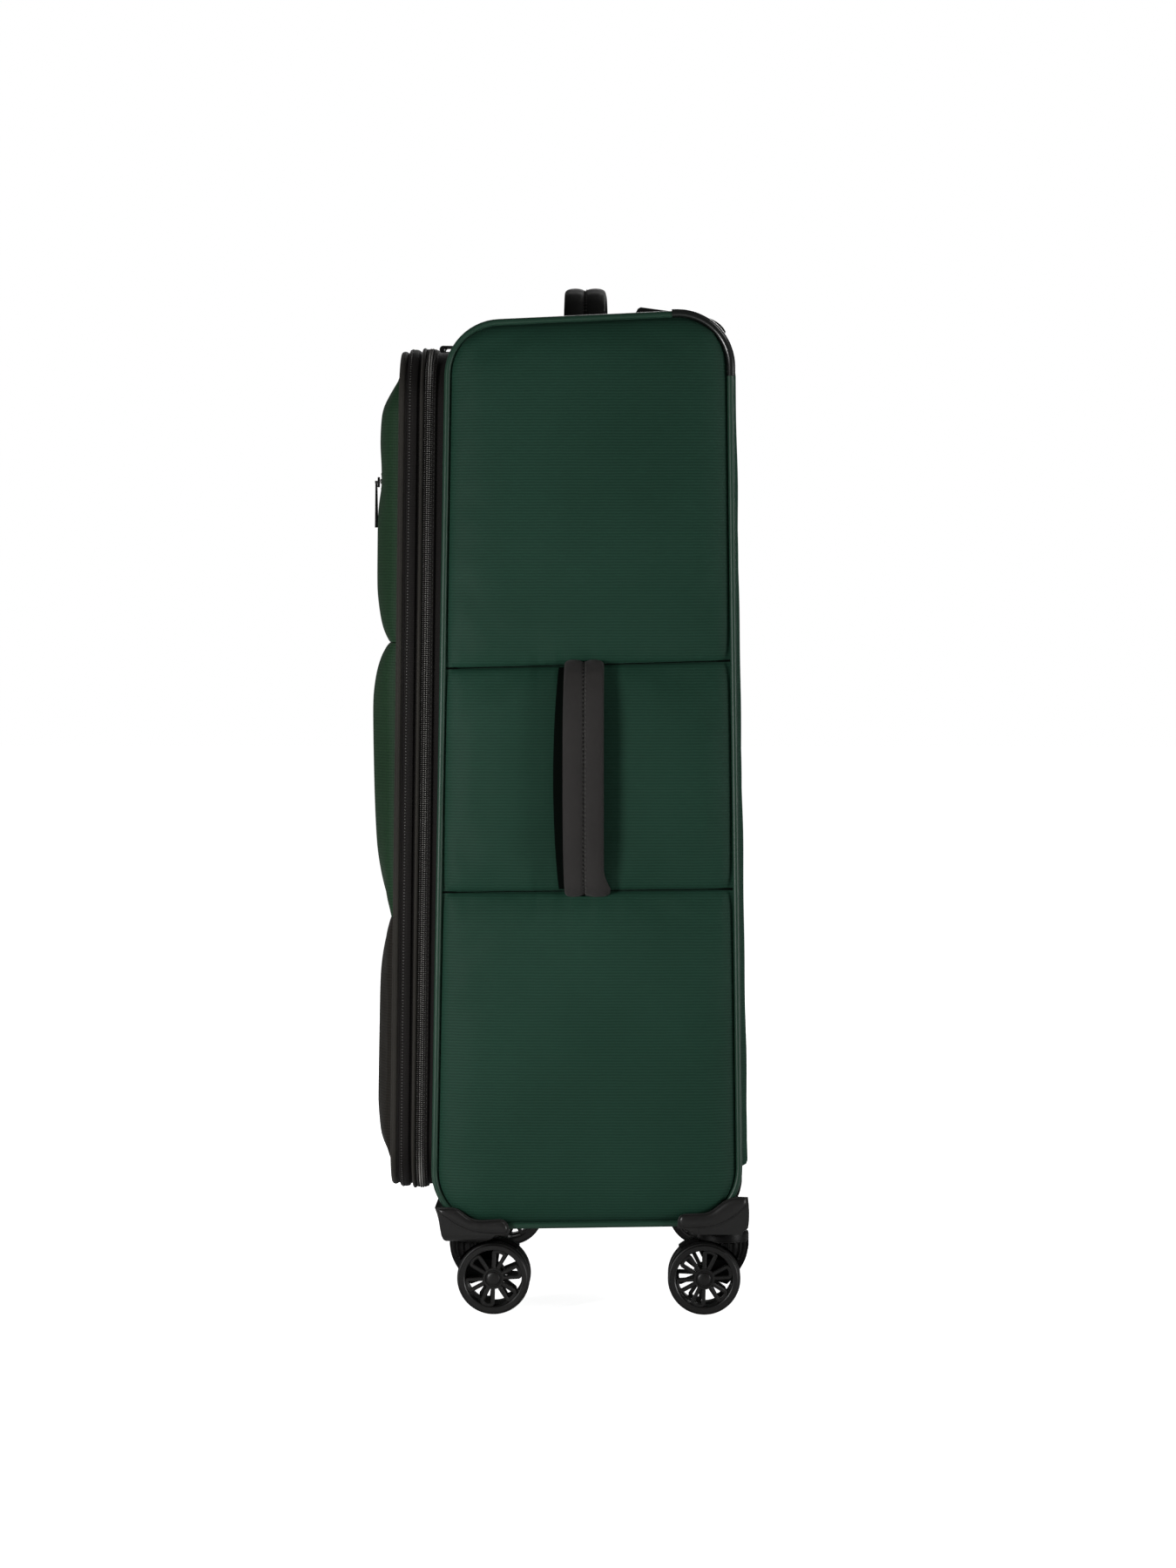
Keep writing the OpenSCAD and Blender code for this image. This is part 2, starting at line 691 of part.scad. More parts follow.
side_panel_right();
side_panel_left();
piping();
top_panel();
bottom_panel();
back_panel();
front_border();
body_zip_half();
hinge_gusset();
lining();
tube_covers();
packing_straps();
strap_buckle();
top_handle();
side_handle();
corner_guards();
trolley_housing();
outer_tubes();
bracket(casters[0]);  // bracket_front_right
bracket(casters[1]);  // bracket_front_left
bracket(casters[2]);  // bracket_rear_right
bracket(casters[3]);  // bracket_rear_left
bracket_screws();
lid_zip_half();
lid_frame();
front_board();
expander_sleeve();
panel_upper();
panel_middle();
panel_lower();
lid_lining();
mesh_pocket();
pocket_zip();
main_slider_right();
main_slider_left();
main_pull_right();
main_pull_left();
expander_slider();
pocket_slider();
pocket_pull();
middle_tubes();
inner_tubes();
grip();
release_button();
fork(casters[0]);  // fork_front_right
fork(casters[1]);  // fork_front_left
fork(casters[2]);  // fork_rear_right
fork(casters[3]);  // fork_rear_left
axle(casters[0]);  // axle_front_right
axle(casters[1]);  // axle_front_left
axle(casters[2]);  // axle_rear_right
axle(casters[3]);  // axle_rear_left
wheel(casters[0], true);  // wheel_front_right_outer
wheel(casters[0], false);  // wheel_front_right_inner
wheel(casters[1], true);  // wheel_front_left_outer
wheel(casters[1], false);  // wheel_front_left_inner
wheel(casters[2], true);  // wheel_rear_right_outer
wheel(casters[2], false);  // wheel_rear_right_inner
wheel(casters[3], true);  // wheel_rear_left_outer
wheel(casters[3], false);  // wheel_rear_left_inner
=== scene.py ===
# %% [markdown]
# # Dressing a soft-sided spinner suitcase
# The CAD frame gives every rigid and soft part its place. This notebook loads it, keeps the parts whose
# shape is already right, and makes the cloth, zips, padding and mouldings that only Blender can show.

# %% Load the frame
import bmesh
import bpy
import json
import math
import numpy as np
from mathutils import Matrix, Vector

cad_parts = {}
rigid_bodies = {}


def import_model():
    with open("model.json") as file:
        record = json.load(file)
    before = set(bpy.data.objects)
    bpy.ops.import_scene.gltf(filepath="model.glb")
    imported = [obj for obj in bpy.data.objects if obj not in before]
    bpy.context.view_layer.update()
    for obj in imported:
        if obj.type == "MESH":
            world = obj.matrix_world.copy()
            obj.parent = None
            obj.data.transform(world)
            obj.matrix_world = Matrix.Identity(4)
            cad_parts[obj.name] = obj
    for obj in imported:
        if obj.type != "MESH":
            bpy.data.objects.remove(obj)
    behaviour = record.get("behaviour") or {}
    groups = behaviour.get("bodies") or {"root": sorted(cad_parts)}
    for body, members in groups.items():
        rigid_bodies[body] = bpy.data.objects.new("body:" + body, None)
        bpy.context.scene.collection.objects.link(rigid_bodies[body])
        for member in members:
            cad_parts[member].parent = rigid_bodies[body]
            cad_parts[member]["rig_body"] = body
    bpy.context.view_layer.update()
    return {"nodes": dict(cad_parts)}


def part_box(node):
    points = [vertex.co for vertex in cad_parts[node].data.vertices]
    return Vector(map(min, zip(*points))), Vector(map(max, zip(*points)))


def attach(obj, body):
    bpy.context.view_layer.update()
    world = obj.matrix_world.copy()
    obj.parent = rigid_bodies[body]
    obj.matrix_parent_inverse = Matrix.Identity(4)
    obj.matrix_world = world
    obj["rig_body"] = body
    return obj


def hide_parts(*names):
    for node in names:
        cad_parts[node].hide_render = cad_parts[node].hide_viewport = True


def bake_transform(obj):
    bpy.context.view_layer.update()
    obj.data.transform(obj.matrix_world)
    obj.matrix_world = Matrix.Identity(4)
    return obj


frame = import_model()
NODES = frame["nodes"]

# %% [markdown]
# ## Where things are
# The widths come from the frame's own boxes, so the cloth lands on the parts that carry it. The body is a
# rounded shape seen from the side, with corners given as (depth, height, radius). The zipped front is a
# rounded rectangle that leans back a little, so it gets its own axes. Everything is in metres.

# %% Named places
MID_X = (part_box("side_panel_left")[0].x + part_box("side_panel_right")[1].x) / 2
HALF_W = (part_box("side_panel_right")[1].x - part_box("side_panel_left")[0].x) / 2
WALL_X = HALF_W - 0.008
BODY_CORNERS = [(-0.1005, 0.068, 0.045), (0.143, 0.072, 0.045), (0.134, 0.7845, 0.043),
                (-0.088, 0.7745, 0.044)]
PIPING = 0.0045
LOOP_HALF = (0.220, 0.3305)
LOOP_R = 0.045
ROUND = ((-1, -1), (1, -1), (1, 1), (-1, 1))
LOOP_CORNERS = [(sx * LOOP_HALF[0], sz * LOOP_HALF[1], LOOP_R) for sx, sz in ROUND]
SPLIT_Y = -0.105
LOOP_Z = 0.4255
LEAN = math.radians(0.75)
HINGE_END = -LOOP_HALF[0] + 0.003
SEAMS = (-0.115, 0.100)
print("body half width", round(HALF_W, 4), "middle", round(MID_X, 4))


# %% Rounded outlines that can be moved in or out
def heading(angle):
    return np.array([math.cos(angle), math.sin(angle)])


class Outline:
    """A rounded polygon: the same points at any inset, so that offset copies join face to face."""

    def __init__(self, corners, arc=10, run=0.012):
        spots = [np.array(c[:2]) for c in corners]
        count = len(spots)
        self.base, self.normal, self.corner_mid = [], [], []
        arcs = []
        for i in range(count):
            before, after = spots[i] - spots[i - 1], spots[(i + 1) % count] - spots[i]
            start = math.atan2(before[1], before[0]) - math.pi / 2
            turn = (math.atan2(after[1], after[0]) - math.pi / 2 - start) % (2 * math.pi)
            u, v = heading(start), heading(start + turn)
            radius = corners[i][2]
            centre = spots[i] - radius * (u + v) / (1 + u @ v)
            arcs.append((centre, radius, start, turn))
        for i, (centre, radius, start, turn) in enumerate(arcs):
            self.corner_mid.append(len(self.base) + arc // 2)
            for k in range(arc + 1):
                out = heading(start + turn * k / arc)
                self.base.append(centre + radius * out)
                self.normal.append(out)
            after = arcs[(i + 1) % count]
            end = after[0] + after[1] * heading(after[2])
            steps = max(1, round(np.linalg.norm(end - self.base[-1]) / run))
            here = self.base[-1]
            for k in range(1, steps):
                self.base.append(here + (end - here) * k / steps)
                self.normal.append(self.normal[-1])
        self.base, self.normal = np.array(self.base), np.array(self.normal)
        steps = np.linalg.norm(np.roll(self.base, -1, 0) - self.base, axis=1)
        self.along = np.concatenate([[0], np.cumsum(steps)])

    def at(self, inset=0.0):
        return self.base - inset * self.normal


body_outline = Outline(BODY_CORNERS, arc=14, run=0.010)
front_outline = Outline(LOOP_CORNERS, arc=12, run=0.010)


def on_side(p, x):
    """Body outline points (depth, height) at a width x off the middle."""
    p = np.asarray(p)
    return np.stack([np.full(len(p), MID_X + x), p[:, 0], p[:, 1]], 1)


def on_front(p, y):
    """Front outline points (width, height) at a depth y behind the zip, in the leaning frame."""
    p = np.asarray(p)
    y = np.broadcast_to(y, len(p))
    return np.stack([MID_X + p[:, 0], SPLIT_Y + y * math.cos(LEAN) + p[:, 1] * math.sin(LEAN),
                     LOOP_Z + p[:, 1] * math.cos(LEAN) - y * math.sin(LEAN)], 1)


# %% [markdown]
# ## Turning points into pieces
# A mesh is only points, faces and a cloth map. The map is kept in metres, so that one weave fits every piece
# at its real scale. Sewn edges are rings: one cross-section carried round an outline. Whatever way the faces
# were listed, each finished piece has them turned outwards.

# %% Mesh helpers
def new_object(name, mesh):
    piece = bpy.data.objects.new(name, mesh)
    bpy.context.scene.collection.objects.link(piece)
    return piece


def baked(piece):
    """A plain mesh of the piece with its modifiers applied."""
    return bpy.data.meshes.new_from_object(piece.evaluated_get(bpy.context.evaluated_depsgraph_get()))


def as_tuples(points):
    return [tuple(map(float, p)) for p in points]


def add_piece(name, points, faces, material, body="root", replaces=(), maps=None, angle=35, slot=None):
    """Makes a piece from points and faces, rides it on a body and hides the CAD nodes it stands for."""
    mesh = bpy.data.meshes.new(name)
    mesh.from_pydata(as_tuples(points), [], faces)
    mesh.update()
    mesh.shade_smooth()
    if angle:
        mesh.set_sharp_from_angle(angle=math.radians(angle))
    if maps is not None:
        layer = mesh.uv_layers.new(name="cloth")
        corner = np.empty(len(mesh.loops), int)
        mesh.loops.foreach_get("vertex_index", corner)
        layer.data.foreach_set("uv", np.asarray(maps, float)[corner].ravel())
    mesh.materials.append(material)
    work = bmesh.new()
    work.from_mesh(mesh)
    bmesh.ops.recalc_face_normals(work, faces=work.faces)
    work.to_mesh(mesh)
    work.free()
    piece = new_object(name, mesh)
    if body:
        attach(piece, body)
    if replaces:
        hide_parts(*replaces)
    return piece


def grid_faces(rows, columns, wrap=False):
    """Quads between rows of points, joined round where wrap is true."""
    across = columns if wrap else columns - 1
    return [(r * columns + c, r * columns + (c + 1) % columns, (r + 1) * columns + (c + 1) % columns,
             (r + 1) * columns + c) for r in range(rows - 1) for c in range(across)]


def tube_faces(rows, count):
    """A run of closed cross-sections, each of count points, with both ends shut."""
    last = (rows - 1) * count
    ends = [tuple(range(count)), tuple(last + k for k in reversed(range(count)))]
    return grid_faces(rows, count, wrap=True) + ends


def add_ring(name, outline, place, profile, material, keep=None, **extra):
    """Carries a closed profile of (inset, across) round an outline, or along its points in keep."""
    picked = np.arange(len(outline.base)) if keep is None else keep
    count, rounds = len(picked), len(profile)
    depths = [np.broadcast_to(across, len(outline.base))[picked] for _, across in profile]
    points = np.concatenate([place(outline.at(p[0])[picked], depth) for p, depth in zip(profile, depths)])
    widths = [0.0]
    for k in range(1, rounds):
        step = math.hypot(profile[k][0] - profile[k - 1][0], float(np.mean(depths[k] - depths[k - 1])))
        widths.append(widths[-1] + step)
    maps = np.concatenate([np.stack([np.full(count, w), outline.along[picked]], 1) for w in widths])
    faces = []
    for r in range(rounds):
        here, there = r * count, (r + 1) % rounds * count
        for a in range(count if keep is None else count - 1):
            b = (a + 1) % count
            faces.append((here + a, here + b, there + b, there + a))
    if keep is not None:
        faces.append(tuple(r * count for r in range(rounds)))
        faces.append(tuple(r * count + count - 1 for r in reversed(range(rounds))))
    return add_piece(name, points, faces, material, maps=maps, **extra)


def oval(centre, radius_in, radius_across, steps=14):
    """A round profile of (inset, across) points."""
    turns = [2 * math.pi * k / steps for k in range(steps)]
    return [(centre[0] + radius_in * math.cos(a), centre[1] + radius_across * math.sin(a)) for a in turns]


print("outline points:", len(body_outline.base), "and", len(front_outline.base))

# %% [markdown]
# ## Cloth and plastic
# Every finish is a small tree of shader nodes. Cloth patterns read the piece's own map in metres, so a rib
# is the same size on a side panel and on a narrow strip. Moulded plastic has no map and reads its own
# coordinates.

# %% Node helpers
def node(tree, kind, inputs=None, **settings):
    made = tree.nodes.new(kind)
    for key, value in settings.items():
        setattr(made, key, value)
    for key, value in (inputs or {}).items():
        if isinstance(value, bpy.types.NodeSocket):
            tree.links.new(value, made.inputs[key])
        else:
            made.inputs[key].default_value = value
    return made


def calc(tree, operation, a, b=0.0, clamp=False):
    return node(tree, "ShaderNodeMath", {0: a, 1: b}, operation=operation, use_clamp=clamp).outputs[0]


def plus(tree, a, b, clamp=False):
    return calc(tree, "ADD", a, b, clamp)


def times(tree, a, b, clamp=False):
    return calc(tree, "MULTIPLY", a, b, clamp)


def new_material(name):
    material = bpy.data.materials.new(name)
    material.use_nodes = True
    return material, material.node_tree, material.node_tree.nodes["Principled BSDF"]


def mix_colour(tree, factor, a, b):
    made = node(tree, "ShaderNodeMix", data_type="RGBA", clamp_factor=True)
    for socket, value in zip((made.inputs[0], made.inputs[6], made.inputs[7]), (factor, a, b)):
        if isinstance(value, bpy.types.NodeSocket):
            tree.links.new(value, socket)
        else:
            socket.default_value = value
    return made.outputs[2]


def noise_at(tree, where, scale, detail=2.0, rough=0.5):
    inputs = {"Vector": where, "Scale": scale, "Detail": detail, "Roughness": rough}
    return node(tree, "ShaderNodeTexNoise", inputs).outputs["Fac"]


def wave(tree, distance, period):
    """A smooth 0 to 1 wave every period metres."""
    turn = times(tree, distance, 2 * math.pi / period)
    return plus(tree, times(tree, calc(tree, "SINE", turn), 0.5), 0.5)


def linear(srgb):
    """A written colour of 0 to 255 as the shader's own numbers."""
    return tuple(((v / 255 + 0.055) / 1.055) ** 2.4 if v > 10 else v / 255 / 12.92 for v in srgb) + (1.0,)


def wire_up(material, tree, shader, sockets, height, strength, relief, levels):
    """Links the patterned sockets, adds the bump and sets the plain levels."""
    for name, value in sockets.items():
        tree.links.new(value, shader.inputs[name])
    bump = node(tree, "ShaderNodeBump", {"Height": height, "Strength": strength, "Distance": relief})
    tree.links.new(bump.outputs[0], shader.inputs["Normal"])
    for name, value in levels.items():
        shader.inputs[name].default_value = value
    return material


# %% Woven cloth
def woven(name, dark, light, ribs=0.0022, threads=0.0007, twill=0.0, roughness=0.75, sheen=0.25,
          relief=0.0003,
          rib_share=0.45, cloud=0.5, sheen_tint=(1, 1, 1, 1), shine=0.08):
    """Cloth with ribs across it, or with twill lines where twill is their slant."""
    material, tree, shader = new_material(name)
    where = node(tree, "ShaderNodeUVMap", uv_map="cloth").outputs[0]
    split = node(tree, "ShaderNodeSeparateXYZ", {0: where}).outputs
    place = node(tree, "ShaderNodeTexCoord").outputs["Object"]
    run = plus(tree, split[1], times(tree, split[0], twill)) if twill else split[1]
    wobble = noise_at(tree, place, 90)
    rib = wave(tree, plus(tree, run, times(tree, wobble, ribs * 0.35)), ribs)
    thread = wave(tree, plus(tree, split[0], times(tree, wobble, threads * 0.4)), threads)
    fibre = noise_at(tree, place, 1500)
    patch = noise_at(tree, place, 9, 3)
    weave = plus(tree, times(tree, rib, rib_share), times(tree, thread, 0.18))
    weave = plus(tree, weave, times(tree, fibre, 0.30))
    tone = plus(tree, weave, times(tree, calc(tree, "SUBTRACT", patch, 0.5), cloud), clamp=True)
    sockets = {"Base Color": mix_colour(tree, tone, linear(dark), linear(light)),
               "Roughness": plus(tree, times(tree, fibre, 0.22), roughness - 0.11)}
    levels = {"Sheen Weight": sheen, "Sheen Roughness": 0.45, "Sheen Tint": sheen_tint,
              "Specular IOR Level": shine}
    return wire_up(material, tree, shader, sockets, weave, 0.6, relief, levels)


# %% Moulded plastic, metal and rubber
def moulded(name, dark, light, roughness=0.4, grain=2200, relief=0.00008, metallic=0.0, wear=0.15, shine=0.5,
            brushed=None):
    """Plastic with a fine spark grain; brushed gives the scale along each axis for drawn metal."""
    material, tree, shader = new_material(name)
    place = node(tree, "ShaderNodeTexCoord").outputs["Object"]
    if brushed:
        place = node(tree, "ShaderNodeMapping", {"Vector": place, "Scale": brushed}).outputs[0]
    fine = noise_at(tree, place, grain)
    broad = noise_at(tree, place, 3 if brushed else 14, 4)
    scuff = noise_at(tree, place, 30 if brushed else 160, 5, 0.7)
    worn = times(tree, calc(tree, "SUBTRACT", scuff, 0.55, clamp=True), wear * 6, clamp=True)
    tone = plus(tree, times(tree, broad, 0.7), times(tree, fine, 0.3))
    tone = plus(tree, times(tree, tone, 0.7), worn, clamp=True)
    rough = plus(tree, times(tree, plus(tree, fine, broad), 0.12), roughness - 0.12)
    sockets = {"Base Color": mix_colour(tree, tone, linear(dark), linear(light)),
               "Roughness": plus(tree, rough, times(tree, worn, 0.2))}
    levels = {"Metallic": metallic, "Specular IOR Level": shine}
    return wire_up(material, tree, shader, sockets, plus(tree, fine, scuff), 0.5, relief, levels)


# %% The cloths of this case
green_rib = woven("green_rib", (11, 38, 27), (30, 60, 48), roughness=0.62, sheen=0.03, shine=0.10,
                  rib_share=0.36,
                  sheen_tint=(0.55, 0.8, 0.68, 1))
front_rib = woven("front_rib", (13, 32, 18), (33, 54, 37), roughness=0.6, sheen=0.03,
                  sheen_tint=(0.6, 0.8, 0.62, 1))
lower_rib = woven("lower_rib", (12, 11, 9), (34, 31, 27), roughness=0.65, sheen=0.03)
green_cord = woven("green_cord", (12, 36, 25), (34, 64, 50), ribs=0.0012, threads=0.0012, twill=0.6,
                   roughness=0.4,
                   sheen=0.04, cloud=0.3, sheen_tint=(0.6, 0.85, 0.72, 1), shine=0.25, relief=0.00012)
black_tape = woven("black_tape", (5, 4, 4), (32, 30, 29), ribs=0.0011, threads=0.0009, roughness=0.7,
                   sheen=0.04,
                   relief=0.00025)
black_twill = woven("black_twill", (12, 11, 11), (56, 54, 53), ribs=0.0010, twill=-1.0, roughness=0.65,
                    sheen=0.05,
                    rib_share=0.6)
dark_twill = woven("dark_twill", (9, 9, 9), (34, 34, 33), ribs=0.0017, threads=0.0006, twill=0.7,
                   roughness=0.7,
                   sheen=0.02, rib_share=0.65)
edge_binding = woven("edge_binding", (13, 12, 11), (54, 52, 48), ribs=0.0009, threads=0.0016, twill=0.5,
                     roughness=0.68, sheen=0.05)
lining_cloth = woven("lining_cloth", (84, 86, 88), (124, 126, 128), ribs=0.0006, threads=0.0006,
                     roughness=0.5,
                     sheen=0.1, relief=0.00015, cloud=0.3)
sewing_thread = woven("sewing_thread", (16, 16, 15), (60, 60, 57), ribs=0.0005, threads=0.0005, roughness=0.7)
print("cloths:", len(bpy.data.materials))

# %% Its plastics, rubber and metals
black_plastic = moulded("black_plastic", (12, 12, 12), (34, 33, 32), roughness=0.34, shine=0.3)
gloss_plastic = moulded("gloss_plastic", (8, 10, 9), (26, 30, 28), roughness=0.26, relief=0.00003, wear=0.05)
# The teeth's pale grey is partly their own plastic colour and partly painted highlight, so that they show as
# the bright glints along the zips.
zip_plastic_and_glint = moulded("zip_plastic_and_glint", (80, 79, 77), (140, 138, 134), roughness=0.3, grain=900, wear=0.1)
zip_coil = moulded("zip_coil", (26, 25, 24), (66, 64, 61), roughness=0.3, grain=900, wear=0.1)
# Painted shade: a green-tinted near black with almost no shine. It stays dark under any lamp, and it gives the
# shadow in the side seams and beside the side handle.
painted_shade = moulded("painted_shade", (1, 3, 2), (3, 9, 6), roughness=0.95, relief=0.00002, wear=0.0, shine=0.05)
tyre_rubber = moulded("tyre_rubber", (8, 8, 8), (26, 25, 24), roughness=0.5, grain=1500, wear=0.3, shine=0.25)
wheel_plastic = moulded("wheel_plastic", (8, 8, 8), (28, 27, 26), roughness=0.36, wear=0.2, shine=0.3)
fork_plastic = moulded("fork_plastic", (3, 3, 3), (12, 11, 11), roughness=0.45, wear=0.05, shine=0.12)
drawn_metal = moulded("drawn_metal", (150, 152, 156), (196, 198, 202), roughness=0.34, grain=60, metallic=1.0,
                      wear=0.1, brushed=(40, 40, 1))
plated_steel = moulded("plated_steel", (140, 140, 142), (205, 205, 206), roughness=0.3, grain=700,
                       metallic=1.0,
                       wear=0.2)
print("finishes:", len(bpy.data.materials))


# %% [markdown]
# ## Open net
# A net pocket is mostly holes. Real holes would need a huge mesh, so the material lets light through between
# the threads: round holes in a staggered pattern, cut by how far a point is from the nearest hole's middle.

# %% Net material
def net(name, pitch=0.0034, hole=0.36):
    material, tree, shader = new_material(name)
    where = node(tree, "ShaderNodeUVMap", uv_map="cloth").outputs[0]
    split = node(tree, "ShaderNodeSeparateXYZ", {0: where}).outputs
    far = []
    for shift in (0.0, 0.5):
        parts = []
        for axis in (0, 1):
            cell = calc(tree, "FRACT", plus(tree, times(tree, split[axis], 1 / pitch), shift + 100))
            parts.append(calc(tree, "POWER", calc(tree, "SUBTRACT", cell, 0.5), 2.0))
        far.append(calc(tree, "SQRT", plus(tree, parts[0], parts[1])))
    thread = calc(tree, "GREATER_THAN", calc(tree, "MINIMUM", far[0], far[1]), hole)
    tree.links.new(thread, shader.inputs["Alpha"])
    rough = noise_at(tree, node(tree, "ShaderNodeTexCoord").outputs["Object"], 900, 2)
    colour = mix_colour(tree, rough, linear((20, 20, 20)), linear((52, 52, 52)))
    tree.links.new(colour, shader.inputs["Base Color"])
    tree.links.new(plus(tree, times(tree, rough, 0.2), 0.5), shader.inputs["Roughness"])
    return material


pocket_net = net("pocket_net")
print("net material ready")

# %% [markdown]
# ## Camera, floor and light
# The camera stands well back on the handle side, a little above the middle, with a long lens, so the case
# shows almost no perspective. The key lamp is close and low towards the front, which gives the side panel a
# soft fall-off and the handle a soft shadow; the others are wide and far. The floor and the world are white
# to the camera alone, so the pale setting adds no light to the object.

# %% Camera
near_x = MID_X + HALF_W
target = Vector((near_x, 0.0224, 0.4166))
eye = Vector((near_x + 3.8, 0.091, 0.584))
camera_data = bpy.data.cameras.new("camera")
camera_data.sensor_fit = "HORIZONTAL"
camera_data.sensor_width = 36.0
camera_data.lens = 150.1
camera_data.clip_end = 60
camera = new_object("camera", camera_data)
camera.location = eye
camera.rotation_euler = (target - eye).to_track_quat("-Z", "Y").to_euler()
bpy.context.scene.camera = camera
print("camera", [round(v, 3) for v in eye], "looks at", [round(v, 3) for v in target])


# %% Floor, world and lamps
def white_to_camera(tree, shown, white):
    """White where the camera sees it, also through glass, and the given shader for all other light."""
    path = node(tree, "ShaderNodeLightPath")
    seen = calc(tree, "MAXIMUM", path.outputs["Is Camera Ray"], path.outputs["Is Transmission Ray"])
    return node(tree, "ShaderNodeMixShader", {0: seen, 1: shown, 2: white}).outputs[0]


bpy.ops.mesh.primitive_plane_add(size=24, location=(0, 0, 0))
floor = bpy.context.object
floor.name = "floor"
floor_material, tree, shader = new_material("pale_floor")
place = node(tree, "ShaderNodeTexCoord").outputs["Object"]
mottle = noise_at(tree, place, 3, 3)
tree.links.new(mix_colour(tree, mottle, (0.78, 0.78, 0.78, 1), (0.82, 0.82, 0.82, 1)),
               shader.inputs["Base Color"])
shader.inputs["Roughness"].default_value = 0.9
glow = node(tree, "ShaderNodeEmission", {"Color": (1, 1, 1, 1), "Strength": 0.94})
lit = node(tree, "ShaderNodeAddShader", {0: shader.outputs[0], 1: glow.outputs[0]})
tree.links.new(white_to_camera(tree, shader.outputs[0], lit.outputs[0]),
               tree.nodes["Material Output"].inputs[0])
floor.data.materials.append(floor_material)

world = bpy.data.worlds.new("studio")
bpy.context.scene.world = world
world.use_nodes = True
tree = world.node_tree
soft = tree.nodes["Background"]
soft.inputs[0].default_value = (1, 1, 1, 1)
soft.inputs[1].default_value = 0.12
white = node(tree, "ShaderNodeBackground", {"Color": (1, 1, 1, 1), "Strength": 1.0})
tree.links.new(white_to_camera(tree, soft.outputs[0], white.outputs[0]), tree.nodes["World Output"].inputs[0])


def lamp(name, place, aim, size, power):
    data = bpy.data.lights.new(name, "AREA")
    data.shape = "RECTANGLE"
    data.size, data.size_y = size
    data.energy = power
    made = new_object(name, data)
    made.location = place
    made.rotation_euler = (Vector(aim) - Vector(place)).to_track_quat("-Z", "Y").to_euler()
    made.visible_camera = False


middle = (0, 0, 0.42)
lamp("key_lamp", (0.98, -0.72, 0.39), (0.2, 0, 0.39), (0.28, 0.28), 10.5)
lamp("side_lamp", (1.3, 2.4, 0.34), middle, (0.6, 0.8), 34)
lamp("top_lamp", (0.7, 1.7, 2.2), middle, (0.7, 0.7), 9)
lamp("far_lamp", (-2.4, 0.4, 1.6), middle, (1.4, 2.0), 40)
bpy.context.scene.view_settings.view_transform = "Standard"
print("lamps:", len(bpy.data.lights))

# %% [markdown]
# ## Padding that swells
# A padded panel is flat cloth over foam, held down along its seams. Cloth physics gives it the soft, slightly
# uneven swell: the seams are pinned, air pressure pushes the rest out, and each point may move only a little.
# The result is read back as numbers, so no simulation is left on the piece.

# %% Cloth helper
def swell(points, faces, hold, pressure=4.0, grow=0.01, cap=0.004, bend=0.6, frames=20):
    """Returns the points after a short cloth run. hold is 1 where the cloth is sewn down."""
    mesh = bpy.data.meshes.new("swelling")
    mesh.from_pydata(as_tuples(points), [], faces)
    pad = new_object("swelling", mesh)
    group = pad.vertex_groups.new(name="sewn")
    for index in np.flatnonzero(np.asarray(hold) > 0):
        group.add([int(index)], float(hold[index]), "REPLACE")
    cloth = pad.modifiers.new("cloth", "CLOTH")
    settings = cloth.settings
    settings.quality = 6
    settings.mass = 0.3
    settings.tension_stiffness = settings.compression_stiffness = 12
    settings.shear_stiffness = 6
    settings.bending_stiffness = bend
    settings.shrink_min = -grow
    settings.vertex_group_mass = "sewn"
    settings.use_pressure = True
    settings.uniform_pressure_force = pressure
    settings.effector_weights.gravity = 0
    cloth.point_cache.frame_start, cloth.point_cache.frame_end = 1, frames
    scene = bpy.context.scene
    for frame_number in range(1, frames + 1):
        scene.frame_set(frame_number)
    done = pad.evaluated_get(bpy.context.evaluated_depsgraph_get()).to_mesh()
    moved = np.empty(len(done.vertices) * 3)
    done.vertices.foreach_get("co", moved)
    moved = moved.reshape(-1, 3)
    bpy.data.objects.remove(pad)
    scene.frame_set(1)
    step = moved - points
    far = np.linalg.norm(step, axis=1, keepdims=True)
    return points + step * np.minimum(1, cap / np.maximum(far, 1e-9))


def grid_faces(rows, columns, wrap=False):
    across = columns if wrap else columns - 1
    return [(r * columns + c, r * columns + (c + 1) % columns, (r + 1) * columns + (c + 1) % columns,
             (r + 1) * columns + c) for r in range(rows - 1) for c in range(across)]


def sample_grid(grid, rows, columns):
    """Reads a grid of values at fractional rows and columns."""
    r0 = np.clip(np.floor(rows).astype(int), 0, grid.shape[0] - 2)
    c0 = np.clip(np.floor(columns).astype(int), 0, grid.shape[1] - 2)
    fr, fc = (rows - r0)[..., None], (columns - c0)[..., None]
    return ((grid[r0, c0] * (1 - fc) + grid[r0, c0 + 1] * fc) * (1 - fr)
            + (grid[r0 + 1, c0] * (1 - fc) + grid[r0 + 1, c0 + 1] * fc) * fr)


def soften(grid, times=1):
    for _ in range(times):
        inner = (grid[:-2, 1:-1] + grid[2:, 1:-1] + grid[1:-1, :-2] + grid[1:-1, 2:]) / 4
        grid[1:-1, 1:-1] = 0.5 * grid[1:-1, 1:-1] + 0.5 * inner
    return grid


def ripple(distance, seed, lengths=(0.013, 0.021, 0.034)):
    """A repeatable uneven wave between -1 and 1."""
    pick = np.random.default_rng(seed)
    total = sum(np.sin(2 * math.pi * distance / size + pick.uniform(0, 6.28)) for size in lengths)
    return total / len(lengths)


# %% [markdown]
# ## Side panels
# Each side is one padded cloth panel with two seams across it. The grid is stretched to the rounded outline
# as a drum skin is, with its rows closing up at the seams, where the cloth dips and puckers.

# %% The side panel's grid
def side_seam(which, depth):
    level, slope = ((0.3319, 0.0126), (0.5060, 0.0278))[which]
    return level + slope * (depth + 0.0875)


